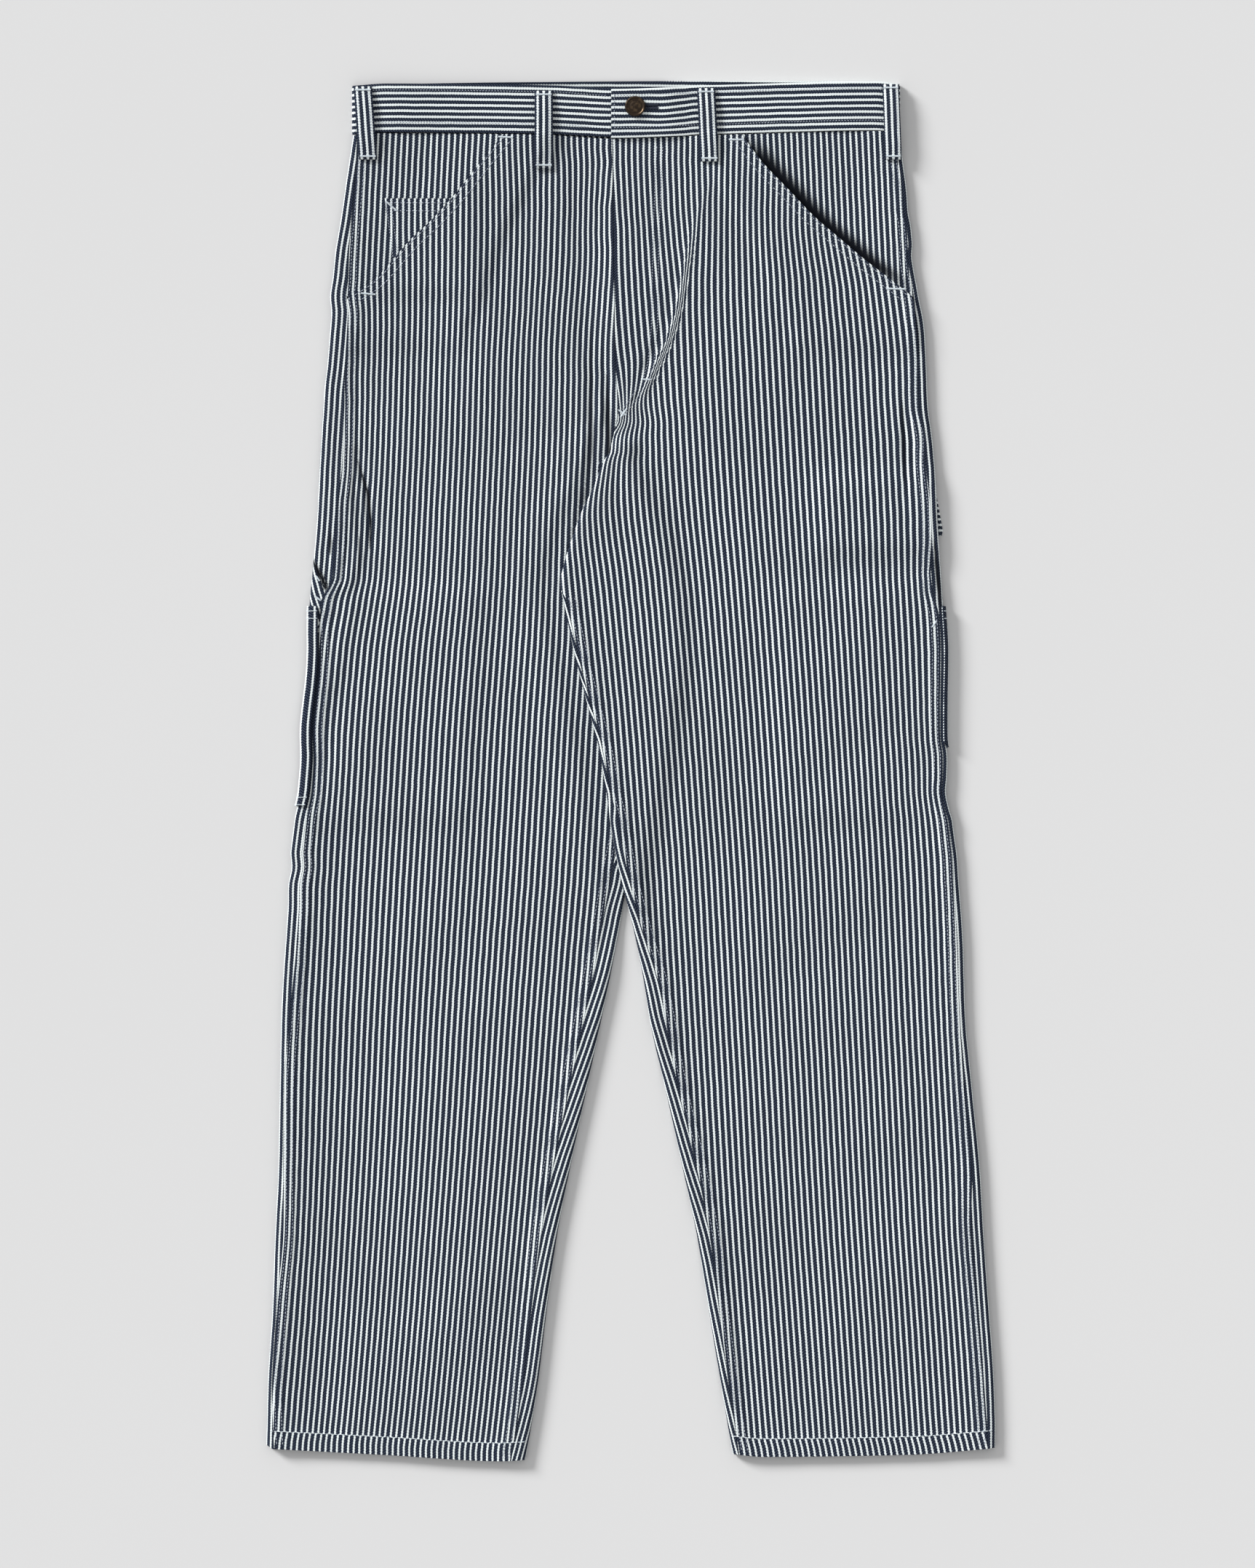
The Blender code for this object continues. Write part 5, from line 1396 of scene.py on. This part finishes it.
for half, side in ((RIGHT, "right"), (LEFT, "left")):
    wrap = float(arc_of(SLIM_ROLL, half.tool.wrap)) - 0.8
    rows = [half.tool.top + down for down in TOP_ROWS]
    if half.sign < 0:
        rows += [RIGHT_TOOL_FOOT - up for up in FOOT_ROWS]
    lines = [tool_line(half, (wrap, -1.6), (down, down)) for down in rows]
    stitches(side + "_tool_stitches", lines, BORDER_THREAD._replace(width=0.7), white_thread)
edge_row = tool_line(LEFT, (0.6, 0.6), (LEFT.tool.top + 14.0, TUCKED_FROM - 1.0))
stitches("left_tool_edge_row", [edge_row], EDGE_THREAD, white_thread)

# The J-shaped row that holds the fly, and the short double row from its foot to the crotch.
J_ROW = [(22.6, 48.0), (21.4, 71.0), (19.4, 130.0), (18.4, 190.0), (15.6, 218.0), (12.6, 229.0)]
J_FOOT = [(6.0, 240.0), (0.5, 248.0), (-4.6, 255.0)]
J_SPACING, FOOT_SPACING = 2.3, 2.0
fly_lines = [front_line(LEFT, J_ROW, offset) for offset in (-J_SPACING, J_SPACING)]
fly_lines += [front_line(LEFT, J_FOOT, offset) for offset in (-FOOT_SPACING, FOOT_SPACING)]
stitches("fly_stitches", fly_lines, BAND_THREAD)


def band_line(down, first, last):
    x = np.arange(first, last, LINE_STEP)
    return on_table(x, front_sag(x) + down, band_top(x) + ABOVE)


BAND_ROWS = (5.0, 30.2)
BAND_RUNS = ((-212, BAND_END - 2), (BAND_END + 3, 205))
band_lines = [band_line(down, *ends) for down in BAND_ROWS for ends in BAND_RUNS]
end_drop = np.arange(5.0, 31.0, 2.0)
band_lines.append(on_table(BAND_END + 2.4, front_sag(BAND_END) + end_drop, upper_band(BAND_END) + ABOVE))
stitches("band_stitches", band_lines, BAND_THREAD)

def watch_line(points):
    """A line on the watch pocket through (x, drop) points."""
    knots = np.array(points, float)
    at = np.linspace(0.0, len(knots) - 1, 40)
    x = np.interp(at, range(len(knots)), knots[:, 0])
    drop = np.interp(at, range(len(knots)), knots[:, 1])
    z = top_height(RIGHT, x, drop) + LAYER + ABOVE
    return on_table(x, sewn(RIGHT, x, drop, front_sag), z)


# The watch pocket: its hem and edge rows, and the slanting bar at its corner.
watch_lines = [watch_line([(-190.6, 93.4), (-143.0, 93.4)]), watch_line([(-184.0, 99.4), (-150.0, 99.6)])]
watch_lines += [watch_line([(x0, 91.5), (x0 + 1.4, 105.0), (x0 + 5.4, 137.0)]) for x0 in (-190.4, -186.6)]
stitches("watch_stitches", watch_lines, BAND_THREAD)
stitches("watch_bar", [watch_line([(-191.0, 92.0), (-182.6, 99.2)])], BAR_THREAD, white_thread)

# Bars of thread: (x, drop) of both ends, on the half that carries them.
BARS = [
    (RIGHT, -103.0, 42.0, -92.0, 42.4), (RIGHT, -210.0, 163.6, -199.0, 164.6),
    (LEFT, 76.6, 43.8, 88.0, 44.2), (LEFT, 199.0, 160.0, 213.0, 160.4), (LEFT, 8.6, 230.6, 16.0, 230.8),
    (LEFT, -9.4, 254.6, -3.6, 258.6), (LEFT, -8.0, 260.4, -3.0, 253.4),
    (RIGHT, -245.2, 384.0, -242.4, 387.6), (RIGHT, -245.6, 400.0, -241.6, 403.0),
    (LEFT, 235.0, 423.6, 237.8, 419.4),
]
bars = [front_line(half, [(x0, drop0), (x1, drop1)]) for half, x0, drop0, x1, drop1 in BARS]
for loop in BELT_LOOPS:
    for part in (0.045, 0.955):
        across = np.linspace(-0.42, 0.42, 9) * loop.width
        x = mix(loop.top_x, loop.bottom_x, part) + across
        z = loop_height(loop, x, np.full_like(x, part)) + ABOVE
        bars.append(on_table(x, mix(loop.top, loop.bottom, part) + 0 * x, z))
stitches("bar_tacks", bars, BAR_THREAD, white_thread)

loop_lines = []
for loop in BELT_LOOPS:
    part = np.linspace(0.06, 0.94, 30)
    for side in (-0.30, 0.30):
        x = mix(loop.top_x, loop.bottom_x, part) + side * loop.width
        loop_lines.append(on_table(x, mix(loop.top, loop.bottom, part), loop_height(loop, x, part) + ABOVE))
stitches("loop_stitches", loop_lines, BAND_THREAD)

# The navy thread that binds the buttonhole.
border = []
for side in (-1, 1):
    x = np.linspace(BUTTON_X + 2.6, SLOT_END + 1.0, 12)
    drop = BUTTON_DROP + side * (SLOT_WIDTH / 2 + 0.6) + 0 * x
    border.append(on_table(x, drop, upper_band(x) + ABOVE))
stitches("buttonhole_stitches", border, BORDER_THREAD, navy_thread)

# ---- Table, camera and light --------------------------------------------------------------------
# A smooth pale table under the trousers, a camera straight above it, one low soft light from the
# upper left that gives the shadows, and even light from all round.

# The view in pixels: its size, the column of the garment's middle and the row of its waist edge.
VIEW_COLUMNS = 1725
VIEW_ROWS = 2156
MIDDLE_COLUMN = 867
WAIST_ROW = 115
PIXEL = 0.567
LENS = 300.0
SENSOR = 36.0
TABLE_REACH = 3.0
TABLE_LEVEL = -0.0002
PALE_GREY = (0.695, 0.695, 0.697, 1.0)
PALER_GREY = (0.705, 0.705, 0.707, 1.0)
# The low light: where it comes from, turned left from +X, its height above the table, its width and power.
LIGHT_BEARING = math.radians(143.0)
LIGHT_HEIGHT = math.radians(23.0)
LIGHT_WIDTH = math.radians(18.0)
LIGHT_POWER = 4.0
ROOM_POWER = 0.58

shader = Shader("table_top")
spot = shader.node("ShaderNodeTexCoord", None, None, 3)
mottle = shader.node("ShaderNodeTexNoise", None, {"Vector": spot, "Scale": 3.0, "Detail": 2.0})
paint = shader.blend(mottle, PALE_GREY, PALER_GREY)
table_top = shader.finish({"Base Color": paint, "Roughness": 0.9, "Specular IOR Level": 0.1})

corners = [(-1, -1), (1, -1), (1, 1), (-1, 1)]
mesh = bpy.data.meshes.new("table")
mesh.from_pydata([(TABLE_REACH * x, TABLE_REACH * y, TABLE_LEVEL) for x, y in corners], [], [(0, 1, 2, 3)])
mesh.materials.append(table_top)
table = add_object("table", mesh)

view_x = (VIEW_COLUMNS / 2 - MIDDLE_COLUMN) * PIXEL * MM + side_shift * MM
view_y = waist_level * MM - (VIEW_ROWS / 2 - WAIST_ROW) * PIXEL * MM
camera = add_object("camera", bpy.data.cameras.new("camera"))
camera.data.lens = LENS
camera.data.sensor_width = SENSOR
camera.location = (view_x, view_y, VIEW_ROWS * PIXEL * MM * LENS / SENSOR)
bpy.context.scene.camera = camera

low_light = add_object("low_light", bpy.data.lights.new("low_light", "SUN"))
low_light.data.energy = LIGHT_POWER
low_light.data.angle = LIGHT_WIDTH
flat = math.cos(LIGHT_HEIGHT)
source = Vector((flat * math.cos(LIGHT_BEARING), flat * math.sin(LIGHT_BEARING), math.sin(LIGHT_HEIGHT)))
low_light.rotation_euler = (-source).to_track_quat("-Z", "Y").to_euler()

world = bpy.data.worlds.new("room")
world.use_nodes = True
background = world.node_tree.nodes["Background"]
background.inputs["Color"].default_value = (1.0, 1.0, 1.0, 1.0)
background.inputs["Strength"].default_value = ROOM_POWER
bpy.context.scene.world = world
bpy.context.scene.view_settings.view_transform = "Standard"
